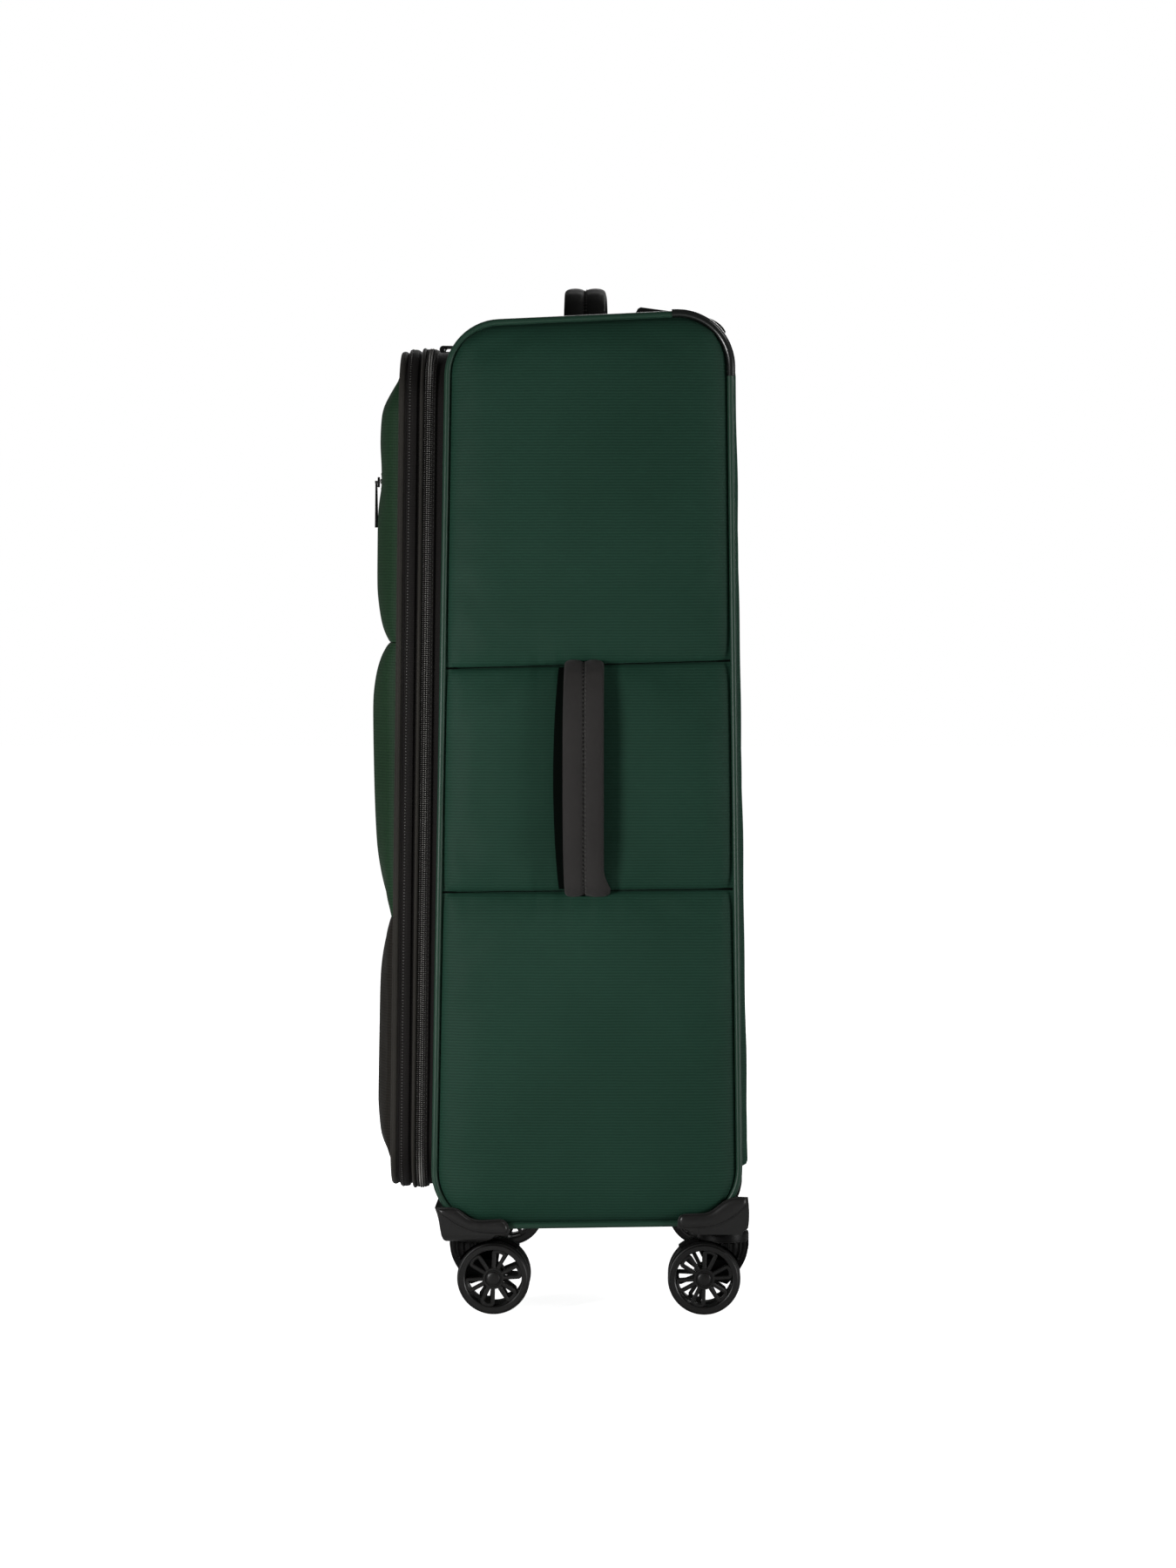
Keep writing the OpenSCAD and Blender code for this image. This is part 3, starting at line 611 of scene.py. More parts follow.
def resample(line, count):
    lengths = np.concatenate([[0], np.cumsum(np.linalg.norm(np.diff(line, axis=0), axis=1))])
    wanted = count * lengths[-1]
    return np.stack([np.interp(wanted, lengths, line[:, k]) for k in range(line.shape[1])], 1)


def drum_skin(outline, inset, u, v):
    """Points (depth, height) at u across and v up, inside a four-cornered outline."""
    rim = outline.at(inset)
    mids = outline.corner_mid
    sides = []
    for a, b in ((0, 1), (1, 2), (2, 3), (3, 0)):
        stop = mids[b] if mids[b] > mids[a] else mids[b] + len(rim)
        sides.append(rim[np.arange(mids[a], stop + 1) % len(rim)])
    low, right = resample(sides[0], u), resample(sides[1], v)
    top, left = resample(sides[2][::-1], u), resample(sides[3][::-1], v)
    uu, vv = u[None, :, None], v[:, None, None]
    flat = (1 - vv) * low[None] + vv * top[None] + (1 - uu) * left[:, None] + uu * right[:, None]
    return flat - ((1 - uu) * (1 - vv) * low[0] + uu * (1 - vv) * low[-1]
                   + (1 - uu) * vv * top[0] + uu * vv * top[-1])


def gathered(count, pull=0.75):
    """Steps from 0 to 1 that close up at both ends."""
    t = np.linspace(0, 1, count)
    return pull * (0.5 - 0.5 * np.cos(math.pi * t)) + (1 - pull) * t


def side_panel_cloth(side, seed):
    u = gathered(84, 0.55)
    dense = np.linspace(0, 1, 500)
    column = drum_skin(body_outline, PIPING, u, dense)
    rows = []
    for c in range(len(u)):
        height, depth = column[:, c, 1], column[:, c, 0]
        cuts = [0.0, 1.0]
        for k in (0, 1):
            gap = height - side_seam(k, depth)
            over = int(np.argmax(gap > 0))
            cuts.insert(k + 1, float(np.interp(0.0, gap[over - 1:over + 1], dense[over - 1:over + 1])))
        steps = [cuts[k] + (cuts[k + 1] - cuts[k]) * gathered(52 if k != 1 else 40,
                                                              0.92)[(0 if k == 0 else 1):]
                 for k in range(3)]
        rows.append(np.concatenate(steps))
    v = np.array(rows).T
    flat = np.stack([np.stack([np.interp(v[:, c], dense, column[:, c, k]) for k in (0, 1)], 1)
                     for c in range(len(u))], 1)
    rim = np.minimum(np.minimum(u, 1 - u)[None, :] * 0.24, np.minimum(v, 1 - v) * 0.71)
    seam = np.min([abs(flat[..., 1] - side_seam(k, flat[..., 0])) for k in (0, 1)], axis=0)
    crown = 0.0006 + 0.0064 * (1 - np.exp(-rim / 0.0055)) + 0.0010 * (1 - np.exp(-rim / 0.030))
    dip = np.exp(-seam / 0.0009) * 0.0034 + np.exp(-seam / 0.007) * 0.0026 + np.exp(-seam / 0.040) * 0.0010
    away = abs(flat[..., 0] - 0.020)
    outside = np.maximum(side_seam(0, flat[..., 0]) - flat[..., 1], flat[..., 1] - side_seam(1, flat[..., 0]))
    pull = np.exp(-(away / 0.020) ** 2) * np.exp(-(seam / 0.018)) * (side > 0)
    part = np.clip(seam / 0.06, 0, 1)
    puffed = np.sin(math.pi * np.clip(u, 0, 1))[None, :] ** 0.9
    pillow = 0.0026 * puffed * np.sin(math.pi / 2 * part) * np.clip(rim / 0.05, 0, 1) ** 0.7
    strain = 0.6 + 2.4 * np.exp(-(away / 0.045) ** 2)
    fold = ripple(flat[..., 0], seed, (0.006, 0.0105, 0.019))
    pucker = np.exp(-seam / 0.010) * (1 - np.exp(-seam / 0.001)) * 0.0008 * strain * fold
    pillow = pillow * (1 - 0.92 * np.exp(-(away / 0.040) ** 2) * (outside < 0) * (side > 0))
    out = np.maximum(crown - dip + pillow + 0.0015 * pull + pucker, 0.0012)
    # the swell is found on a coarser, even grid of the same panel
    cu, cv = np.linspace(0, 1, 40), np.linspace(0, 1, 112)
    coarse = drum_skin(body_outline, PIPING, cu, cv)
    lift = 0.0075 * np.ones(coarse.shape[:2])
    start = np.concatenate([lift[..., None] * side, coarse], 2)
    hold = np.zeros(coarse.shape[:2])
    hold[:2], hold[-2:], hold[:, :2], hold[:, -2:] = 1, 1, 1, 1
    for k in (0, 1):
        hold[abs(coarse[..., 1] - side_seam(k, coarse[..., 0])) < 0.0042] = 1
    quads = grid_faces(len(cv), len(cu))
    quads = quads if side > 0 else [tuple(reversed(f)) for f in quads]
    moved = swell(start.reshape(-1, 3), quads, hold.ravel(), pressure=3.0, grow=0.012, cap=0.0045, bend=1.2)
    push = soften((moved.reshape(start.shape) - start) * np.array([side, 1, 1]), 2)
    extra = sample_grid(push, v * (len(cv) - 1), np.broadcast_to(u * (len(cu) - 1), v.shape))
    out = out + np.clip(extra[..., 0], -0.001, 0.0045) * 0.8
    outer = np.stack([MID_X + side * (WALL_X + out), flat[..., 0] + extra[..., 1] * 0.5,
                      flat[..., 1] + extra[..., 2] * 0.5], 2)
    inner = np.stack([np.full(out.shape, MID_X + side * (WALL_X + 0.0006)), flat[..., 0], flat[..., 1]], 2)
    seams = [outer[row] for row in (51, 51 + 39)]
    return outer, inner, flat, seams


def closed_pad(outer, inner, maps):
    """Joins a front grid and a back grid into one closed pad."""
    rows, columns = outer.shape[:2]
    size = rows * columns
    points = np.concatenate([outer.reshape(-1, 3), inner.reshape(-1, 3)])
    front = grid_faces(rows, columns)
    back = [tuple(size + i for i in reversed(f)) for f in front]
    edge = ([c for c in range(columns)] + [r * columns + columns - 1 for r in range(1, rows)]
            + [(rows - 1) * columns + c for c in range(columns - 2, -1, -1)]
            + [r * columns for r in range(rows - 2, 0, -1)])
    wall = [(edge[k], size + edge[k], size + edge[(k + 1) % len(edge)], edge[(k + 1) % len(edge)])
            for k in range(len(edge))]
    maps = np.asarray(maps, float).reshape(-1, 2)
    return points, front + back + wall, np.concatenate([maps, maps])


for side, word, seed in ((1, "right", 11), (-1, "left", 23)):
    outer, inner, flat, seams = side_panel_cloth(side, seed)
    points, faces, maps = closed_pad(outer, inner, flat)
    cover = add_piece(f"side_cover_{word}", points, faces, green_rib, maps=maps, angle=60,
                      replaces=(f"side_panel_{word}",), slot="green_fabric")
    print(cover.name, "faces", len(faces), "stands out",
          round(float(abs(outer[..., 0] - MID_X).max() - WALL_X), 4))
    # A thin near-black tube along each seam is painted shadow in the crease where the cloth dips.
    for k, line in enumerate(seams):
        rings = [line + 0.0009 * np.array([side * math.cos(a), 0,
                                           math.sin(a)]) for a in np.arange(6) * math.pi / 3]
        points = np.stack(rings, 1).reshape(-1, 3)
        faces = grid_faces(len(line), 6, wrap=True) + [tuple(range(6)),
                                                       tuple(len(points) - 6 + i for i in reversed(range(6)))]
        add_piece(f"seam_shadow_line_{word}_{k + 1}", points, faces, painted_shade, slot="green_fabric")

# %% [markdown]
# ## Piping, wrap and back
# Round cord in a cloth cover runs along both side seams. Between them one long strip wraps the body: it is
# swept round the outline, then cut open for the lid and the handle's cup with a Boolean.

# %% Piping
for side, word in ((1, "right"), (-1, "left")):
    profile = oval((0.0022, side * (WALL_X + 0.0026)), 0.0025, 0.0026, 16)
    add_ring(f"piping_{word}", body_outline, on_side, profile, green_cord,
             replaces=("piping",), slot="green_piping")
print("piping length", round(float(body_outline.along[-1]), 3))


# %% Boolean helper
def cut_away(piece, cutters):
    for cutter in cutters:
        change = piece.modifiers.new("cut", "BOOLEAN")
        change.operation = "DIFFERENCE"
        change.solver = "EXACT"
        change.object = cutter
    done = baked(piece)
    piece.modifiers.clear()
    piece.data = done
    for cutter in cutters:
        bpy.data.objects.remove(cutter)
    return piece


def cutter_box(low, high):
    (x0, y0, z0), (x1, y1, z1) = low, high
    points = [(x, y, z) for z in (z0, z1) for x, y in ((x0, y0), (x1, y0), (x1, y1), (x0, y1))]
    faces = [(3, 2, 1, 0), (4, 5, 6, 7), (0, 1, 5, 4), (1, 2, 6, 5), (2, 3, 7, 6), (3, 0, 4, 7)]
    return add_piece("cutter", points, faces, black_tape, body=None, angle=0)


def cutter_loop(inset, back, front):
    rim = front_outline.at(inset)
    count = len(rim)
    points = np.concatenate([on_front(rim, back), on_front(rim, front)])
    faces = [tuple(range(count)), tuple(range(2 * count - 1, count - 1, -1))]
    faces += [(k, count + k, count + (k + 1) % count, (k + 1) % count) for k in range(count)]
    return add_piece("cutter", points, faces, black_tape, body=None, angle=0)


# %% The wrap round the body
edge = WALL_X - 0.0004
steps = np.linspace(-1, 1, 41)
outer = [(0.0008 + 0.0022 * math.exp(-(1 - abs(s)) * edge / 0.006), s * edge) for s in steps]
inner = [(0.0080, s * edge) for s in steps[::-8]]
wrap = add_ring("body_wrap", body_outline, on_side, outer + inner, green_rib, angle=50,
                replaces=("top_panel", "bottom_panel", "front_border"), slot="green_fabric")
cup = cutter_box((MID_X - 0.0965, 0.0715, 0.74), (MID_X + 0.0965, 0.1255, 0.9))
cut_away(wrap, [cup, cutter_loop(0.0035, 0.06, -0.02)])
print("wrap faces", len(wrap.data.polygons))


# %% Back panel
def back_cloth():
    low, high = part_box("back_panel")
    foot, head = low.z + 0.002, high.z - 0.002
    half = WALL_X - 0.003
    u, v = gathered(48, 0.8), gathered(110, 0.6)
    x, z = (2 * u - 1) * half, foot + (head - foot) * v
    rim = np.minimum(np.minimum(u, 1 - u)[None, :] * 2 * half, np.minimum(v, 1 - v)[:, None] * (head - foot))
    plane = high.y - 0.0012 - 0.0104 * (z - foot)[:, None] / (head - foot)
    corner = np.clip(rim / 0.006, 0, 1)
    drop = 0.0055 * (1 - np.sqrt(1 - (1 - corner) ** 2))
    stitch = 0.0007 * np.exp(-((rim - 0.014) / 0.0011) ** 2)
    soft = 0.0005 * ripple(x, 5, (0.07, 0.11))[None, :] * ripple(z, 6, (0.09, 0.15))[:, None]
    y = plane - drop - stitch + soft
    xx, zz = np.meshgrid(x, z)
    outer = np.stack([MID_X + xx, y, zz], 2)
    inner = np.stack([MID_X + xx, np.broadcast_to(plane - 0.0075, y.shape), zz], 2)
    return closed_pad(outer, inner, np.stack([xx, zz], 2))


points, faces, maps = back_cloth()
back = add_piece("back_cover", points, faces, green_rib, maps=maps, angle=60,
                 replaces=("back_panel",), slot="green_fabric")
print("back faces", len(faces))

# %% [markdown]
# ## Repeats along a seam
# Zip teeth and stitches are the same small shape over and over along a path. Geometry Nodes walk the path
# at a set pitch, turn a bead to follow it, and leave one plain mesh. The path carries an arrow for which
# way is out.

# %% Geometry Nodes: beads along a path
def bead_tree():
    tree = bpy.data.node_groups.new("beads_along_path", "GeometryNodeTree")
    tree.interface.new_socket("Geometry", in_out="INPUT", socket_type="NodeSocketGeometry")
    tree.interface.new_socket("Geometry", in_out="OUTPUT", socket_type="NodeSocketGeometry")
    for name, value in (("Pitch", 0.0025), ("Along", 0.001), ("Across", 0.002), ("Height", 0.001)):
        tree.interface.new_socket(name, in_out="INPUT", socket_type="NodeSocketFloat").default_value = value
    tree.interface.new_socket("Finish", in_out="INPUT", socket_type="NodeSocketMaterial")
    given = node(tree, "NodeGroupInput").outputs
    path = node(tree, "GeometryNodeMeshToCurve", {"Mesh": given["Geometry"]}).outputs[0]
    even = node(tree, "GeometryNodeResampleCurve", {"Curve": path, "Length": given["Pitch"]},
                mode="LENGTH").outputs[0]
    spots = node(tree, "GeometryNodeCurveToPoints", {"Curve": even}, mode="EVALUATED")
    outward = node(tree, "GeometryNodeInputNamedAttribute", {"Name": "outward"},
                   data_type="FLOAT_VECTOR").outputs[0]
    turn = node(tree, "FunctionNodeAlignRotationToVector", {"Vector": spots.outputs["Tangent"]},
                axis="X").outputs[0]
    turn = node(tree, "FunctionNodeAlignRotationToVector", {"Rotation": turn, "Vector": outward}, axis="Z",
                pivot_axis="X").outputs[0]
    bead = node(tree, "GeometryNodeMeshUVSphere", {"Segments": 8, "Rings": 4, "Radius": 0.5}).outputs[0]
    size = node(tree, "ShaderNodeCombineXYZ",
                {0: given["Along"], 1: given["Across"], 2: given["Height"]}).outputs[0]
    placed = node(tree, "GeometryNodeInstanceOnPoints",
                  {"Points": spots.outputs[0], "Instance": bead, "Rotation": turn, "Scale": size}).outputs[0]
    real = node(tree, "GeometryNodeRealizeInstances", {"Geometry": placed}).outputs[0]
    smooth = node(tree, "GeometryNodeSetShadeSmooth", {"Geometry": real}).outputs[0]
    done = node(tree, "GeometryNodeSetMaterial", {"Geometry": smooth, "Material": given["Finish"]}).outputs[0]
    node(tree, "NodeGroupOutput", {"Geometry": done})
    return tree


BEADS = bead_tree()


def beads(name, path, outward, material, body="root", closed=False, replaces=(), **sizes):
    """path is a list of runs of points, outward an arrow for each point."""
    runs = path if isinstance(path, list) else [path]
    arrows = outward if isinstance(outward, list) else [outward]
    mesh = bpy.data.meshes.new(name)
    points, edges = [], []
    for run in runs:
        first = len(points)
        points += as_tuples(run)
        edges += [(k, k + 1) for k in range(first, len(points) - 1)]
        if closed:
            edges.append((len(points) - 1, first))
    mesh.from_pydata(points, edges, [])
    arrow = mesh.attributes.new("outward", "FLOAT_VECTOR", "POINT")
    arrow.data.foreach_set("vector", np.concatenate([np.asarray(a, float) for a in arrows]).ravel())
    piece = new_object(name, mesh)
    change = piece.modifiers.new("beads", "NODES")
    change.node_group = BEADS
    for item in BEADS.interface.items_tree:
        if item.in_out == "INPUT" and item.name in sizes:
            change[item.identifier] = sizes[item.name]
        if item.in_out == "INPUT" and item.name == "Finish":
            change[item.identifier] = material
    done = baked(piece)
    piece.modifiers.clear()
    piece.data = done
    if not done.materials:
        done.materials.append(material)
    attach(piece, body)
    if replaces:
        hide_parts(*replaces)
    return piece


def front_arrows(picked):
    """Outward directions of the zip loop, in the world."""
    out = front_outline.normal[picked]
    return np.stack([out[:, 0], out[:, 1] * math.sin(LEAN), out[:, 1] * math.cos(LEAN)], 1)


# %% [markdown]
# ## The zipped edge
# Two black gussets meet at the main zip: the body's tape behind it, the lid's rounded binding in front. The
# front section has a piped edge of its own and a second, hidden zip that lets the case grow. Each is a ring
# with its own cross-section round the same rounded rectangle.

# %% Where the zip runs
rim = front_outline.at(0)
zip_part = rim[:, 0] > HINGE_END
order = np.flatnonzero(zip_part)
gap = np.flatnonzero(np.diff(order) > 1)
ZIP_RUN = np.concatenate([order[gap[0] + 1:], order[:gap[0] + 1]]) if len(gap) else order
print("zip length", round(float(np.linalg.norm(np.diff(rim[ZIP_RUN], axis=0), axis=1).sum()), 3))


def body_face(inset=0.001):
    """How far behind the zip the body's cloth starts, for each point of the loop."""
    line = body_outline.at(inset)
    ahead = line[:, 0] < 0.02
    found = []
    for width, height in front_outline.at(0.0015):
        depth = 0.0
        for _ in range(6):
            level = LOOP_Z + height * math.cos(LEAN) - depth * math.sin(LEAN)
            near = line[ahead][np.argsort(line[ahead][:, 1])]
            face = np.interp(level, near[:, 1], near[:, 0])
            depth = (face - SPLIT_Y - height * math.sin(LEAN)) / math.cos(LEAN)
        found.append(depth)
    return np.array(found)


FACE = body_face()
print("body gusset is", round(float(FACE.min()), 4), "to", round(float(FACE.max()), 4), "deep")

# %% Body side of the zip
tape = [(0.0019, 0.0003), (0.0012, 0.0034), (0.0010, 0.0044), (0.0013, 0.0052), (0.0030, 0.0056),
        (0.0032, 0.0078)]
deep = [(0.0021, FACE + 0.0012), (0.0036, FACE + 0.0012), (0.0036, 0.0003)]


def add_tape(name, profile, keep, material, **extra):
    return add_ring(name, front_outline, on_front, profile, material, keep=keep, **extra)


def run_after(start_index, stop_index):
    """Outline indices from one to another, going round."""
    count = len(rim)
    stop_index = stop_index if stop_index > start_index else stop_index + count
    return np.arange(start_index, stop_index + 1) % count


HINGE_RUN = run_after(ZIP_RUN[-1], ZIP_RUN[0])
add_tape("body_zip_tape", tape + deep, ZIP_RUN, black_tape, replaces=("body_zip_half",),
         slot="black_webbing")
print("tape pieces ready, hinge run", len(HINGE_RUN))

# %% Zip teeth
outward = front_arrows(ZIP_RUN)
for word, sign, body, shift in (("body", 1, "root", 0), ("lid", -1, "lid", 1)):
    line = on_front(front_outline.at(0.0009)[ZIP_RUN], sign * 0.00085)
    if shift:
        line[0] += (line[1] - line[0]) * 0.08
    beads(f"{word}_zip_coil", on_front(front_outline.at(0.0011)[ZIP_RUN], sign * 0.0027), outward, zip_coil,
          body=body,
          Pitch=0.0016, Along=0.0010, Across=0.0020, Height=0.0016)
    # Painted highlight: the pale teeth show the glints along the zip.
    beads(f"{word}_zip_teeth", line, outward, zip_plastic_and_glint, body=body, Pitch=0.0016, Along=0.00105,
          Across=0.0016, Height=0.0022)
    edge_line = on_front(front_outline.at(0.0012)[ZIP_RUN], sign * 0.0043)
    beads(f"{word}_zip_stitches", edge_line, outward, sewing_thread, body=body, Pitch=0.0034, Along=0.0026,
          Across=0.0005, Height=0.0006)
print("teeth set on both halves")

# %% Lid side of the zip, its binding and its gusset
lid_tape = [(0.0019, -0.0003), (0.0012, -0.0034), (0.0034, -0.0036), (0.0034, -0.0003)]
add_tape("lid_zip_tape", lid_tape, ZIP_RUN, black_tape, body="lid", replaces=("lid_zip_half",),
         slot="black_webbing")
full_ring = dict(outline=front_outline, place=on_front)
add_ring("lid_binding", profile=oval((0.0017, -0.0055), 0.0021, 0.0017, 14), material=edge_binding,
         body="lid",
         slot="black_webbing", **full_ring)
gusset = [(0.0034, -0.0004), (0.0036, -0.0078), (0.0030, -0.0088), (0.0016, -0.0096), (0.0010, -0.0112),
          (0.0009, -0.0132), (0.0013, -0.0152), (0.0012, -0.0164), (0.0022, -0.0170), (0.0060, -0.0170),
          (0.0060, -0.0004)]
add_ring("lid_gusset", profile=gusset, material=black_tape, body="lid", replaces=("lid_frame",),
         slot="black_webbing", **full_ring)
whole = np.arange(len(rim))
beads("expander_coil", on_front(front_outline.at(0.0009), -0.0149), front_arrows(whole), zip_coil,
      body="lid", closed=True,
      Pitch=0.0024, Along=0.0013, Across=0.0015, Height=0.0007)
print("lid gusset ready")

# %% Front section's piped edge, board and sleeve
board = [(0.0038, -0.0173), (0.0036, -0.0186), (0.0040, -0.0225), (0.0400, -0.0225), (0.0400, -0.0202),
         (0.0070, -0.0202),
         (0.0056, -0.0173)]
add_ring("front_edge_tape", profile=board, material=black_tape, body="front_section",
         replaces=("front_board",),
         slot="black_webbing", **full_ring)
add_ring("front_piping", profile=oval((0.0052, -0.0210), 0.0027, 0.0029, 16), material=edge_binding,
         body="front_section",
         slot="black_webbing", **full_ring)
sleeve = [(0.0069, 0.0280), (0.0069, -0.0200), (0.0083, -0.0200), (0.0083, 0.0280)]
add_ring("expander_cloth", profile=sleeve, material=black_tape, body="front_section",
         replaces=("expander_sleeve",),
         slot="black_webbing", **full_ring)
print("front edge ready")


# %% [markdown]
# ## Cloth hinge
# The lid hangs on a strip of the same cloth down its left side. The strip is sewn to the body behind and to
# the lid in front. It rides on no body: it is one fixed piece, with its place baked into its points.

# %% Hinge strip
ring_hinge = [(0.0019, FACE + 0.0010), (0.0014, 0.0060), (0.0010, 0.0030), (0.0008, 0.0), (0.0010, -0.0030),
              (0.0016, -0.0040),
              (0.0034, -0.0040), (0.0034, 0.0), (0.0036, FACE + 0.0010)]
hinge_cloth = add_tape("hinge_cloth", ring_hinge, HINGE_RUN, black_tape, body=None)
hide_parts("hinge_gusset")
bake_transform(hinge_cloth)


# %% [markdown]
# ## Puffed front sections
# Three padded sections cover the front. Each rises quickly from its seams, stays full between them and falls
# away at the sides, and the cloth run adds the uneven swell.

# %% Front sections
FRONT_BASE = -0.0225
HALF = LOOP_HALF[0] - 0.0060


def rise_from(distance, sharp, straight):
    """0 at the seam and 1 well inside: a straight slope with a turned corner, or a round one."""
    t = distance / sharp
    return t / (1 + t ** 8) ** 0.125 if straight else 1 - np.exp(-t)


def puff(name, foot, head, rise, lean_out, sharp_low, sharp_high, material, seed, node_name, slot,
         held_at=None,
         seam_low=0.0, seam_high=0.0):
    """rise is the height of the crown; lean_out adds to it towards the top.

    A seam with no height is a straight slope.
    """
    u, v = gathered(78, 0.6), gathered(60, 0.75)
    cu, cv = np.linspace(0, 1, 64), np.linspace(0, 1, 36)

    def shape(u, v):
        across = (2 * u - 1)[None, :]
        up = v[:, None]
        low = rise_from(up * (head - foot), sharp_low, seam_low == 0)
        high = rise_from((1 - up) * (head - foot), sharp_high, seam_high == 0)
        side = (1 - np.abs(across) ** 9) ** 0.45
        bulge = ((rise + lean_out * (up - 0.5)) * low * high + seam_low * (1 - low) + seam_high
                 * (1 - high)) * side
        x = across * HALF + 0 * up
        z = foot + (head - foot) * up + 0 * across
        # the outer corners follow the rounded zip loop
        limit = LOOP_HALF[1] - 0.0065
        for sign in (-1, 1):
            deep = np.clip((sign * z - (limit - LOOP_R)) / LOOP_R, 0, 1)
            narrow = LOOP_R * (1 - np.sqrt(1 - deep ** 2))
            x = x * (1 - narrow / HALF)
        return x, FRONT_BASE - bulge - 0.0004, z

    def placed(x, y, z):
        flat = np.stack([x.ravel(), z.ravel()], 1)
        return on_front(flat, y.ravel()).reshape(x.shape + (3,))

    start = placed(*shape(cu, cv))
    hold = np.zeros(start.shape[:2])
    hold[:1], hold[-1:], hold[:, :1], hold[:, -1:] = 1, 1, 1, 1
    level = foot + (head - foot) * cv
    if held_at is not None:
        hold[abs(level - held_at) < 0.010] = 1
    quads = grid_faces(len(cv), len(cu))
    moved = swell(start.reshape(-1, 3), quads, hold.ravel(), pressure=3.5, grow=0.008, cap=0.004, bend=1.0)
    push = soften(moved.reshape(start.shape) - start, 1)
    rows = v[:, None] * (len(cv) - 1) + 0 * u[None, :]
    extra = sample_grid(push, rows, u[None, :] * (len(cu) - 1) + 0 * v[:, None])
    x, y, z = shape(u, v)
    seam = np.minimum(v, 1 - v)[:, None] * (head - foot)
    fine_waves = ripple(x, seed, (0.009, 0.015, 0.024))
    y = y + np.exp(-seam / 0.008) * (1 - np.exp(-seam / 0.0015)) * 0.0006 * fine_waves
    outer = placed(x, y, z) + extra * 0.7
    inner = placed(x, np.full(x.shape, FRONT_BASE), z)
    points, faces, maps = closed_pad(outer, inner, np.stack([x, z], 2))
    piece = add_piece(name, points, faces, material, body="front_section", maps=maps, angle=60,
                      replaces=(node_name,), slot=slot)
    return piece


puff("front_upper", SEAMS[1] + 0.0004, 0.3110, 0.0172, 0.0005, 0.010, 0.0285, front_rib, 31, "panel_upper",
     "green_fabric",
     held_at=0.226, seam_low=0.0085)
puff("front_middle", SEAMS[0] + 0.0004, SEAMS[1] - 0.0004, 0.0183, 0.0050, 0.033, 0.0120, front_rib, 37,
     "panel_middle",
     "green_fabric", seam_low=0.0042, seam_high=0.0085)
puff("front_lower", -0.3110, SEAMS[0] - 0.0004, 0.0110, -0.0008, 0.0235, 0.016, lower_rib, 41,
     "panel_lower", "brown_black_fabric",
     seam_high=0.0042)
print("three front sections ready")

# %% [markdown]
# ## Carry handles
# Each carry handle is a padded strap with two stuffed lobes and a sewn groove between them. Its ends are
# caught in a seam and its middle stands off the case. The same cross-section is carried along the arch: a
# point of it lies between an outer curve and an inner one, so the padding can't fold through itself at the
# tight ends.

# %% Padded straps
def lobe_section(lobes, low=0.22, power=0.45, steps=15):
    """Closed (across, share of thickness) points: domes over the lobes, a rounder underside."""
    points = []
    for k, (middle, half) in enumerate(lobes):
        first = 0 if k == 0 else 1
        last = steps if k == len(lobes) - 1 else steps - 1
        for s in range(first, last + 1):
            turn = math.pi * (1 - s / steps)
            points.append((middle + half * math.cos(turn), low + (1 - low) * math.sin(turn) ** power))
    left, right = points[0][0], points[-1][0]
    for s in range(1, 10):
        turn = math.pi * s / 10
        points.append(((left + right) / 2 + (right - left) / 2 * math.cos(turn),
                       low * (1 - math.sin(turn) ** 0.5)))
    return np.array(points)


def arched(name, place, section, reach, rise, thick, material, shift=None, shrink=0.55, seed=5, steps=128,
           **extra):
    """Carries a section along an arch. place turns (along, across, up) into world points."""
    t = np.sin(np.linspace(-math.pi / 2, math.pi / 2, steps))
    lift = np.clip(1 - abs(t) ** 5, 0, 1) ** 0.8
    across, share = section[:, 0][None, :], section[:, 1][None, :]
    flat = np.clip((abs(t) - 0.86) / 0.14, 0, 1)[:, None] ** 2
    share = share * (1 - shrink * flat)
    uneven = 1 + 0.035 * ripple(t * reach, seed, (0.011, 0.019, 0.041))[:, None]
    outer = np.stack([reach * t, rise * lift], 1)
    inner = np.stack([(reach - 1.4 * thick) * t, (rise - thick) * lift], 1)
    base, span = inner[:, None, :], (outer - inner)[:, None, :]
    spot = base + span * (share * uneven * 0.965)[..., None]
    side = np.broadcast_to(across, spot.shape[:2]) + (0 if shift is None else shift(t[:, None], across))
    points = place(spot[..., 0], side, spot[..., 1]).reshape(-1, 3)
    count = section.shape[0]
    faces = tube_faces(steps, count)
    run = np.concatenate([[0], np.cumsum(np.hypot(*np.diff(outer, axis=0).T))])
    girth = np.concatenate([[0], np.cumsum(np.linalg.norm(np.diff(section * np.array([1, thick]), axis=0),
                                                          axis=1))])
    maps = np.stack(np.broadcast_arrays(girth[None, :], run[:, None]), 2).reshape(-1, 2)
    piece = add_piece(name, points, faces, material, maps=maps, angle=50, **extra)
    return piece, points.reshape(steps, count, 3)


# %% Side handle
side_top = MID_X + HALF_W
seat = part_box("side_handle")
mid_z = (seat[0].z + seat[1].z) / 2
reach = (seat[1].z - seat[0].z) / 2
stand_out = seat[1].x - side_top


def beside(along, across, up):
    return np.stack([side_top + up, across, mid_z + along], -1)


def side_flare(t, across):
    """The right edge widens over the lower end, and the left edge draws in at both ends."""
    right = np.clip((across - 0.019) / 0.016, 0, 1)
    left = np.clip((0.010 - across) / 0.010, 0, 1)
    return 0.005 * right * np.clip((-t - 0.82) / 0.18, 0, 1) ** 1.5 + 0.0015 * left * abs(t) ** 3


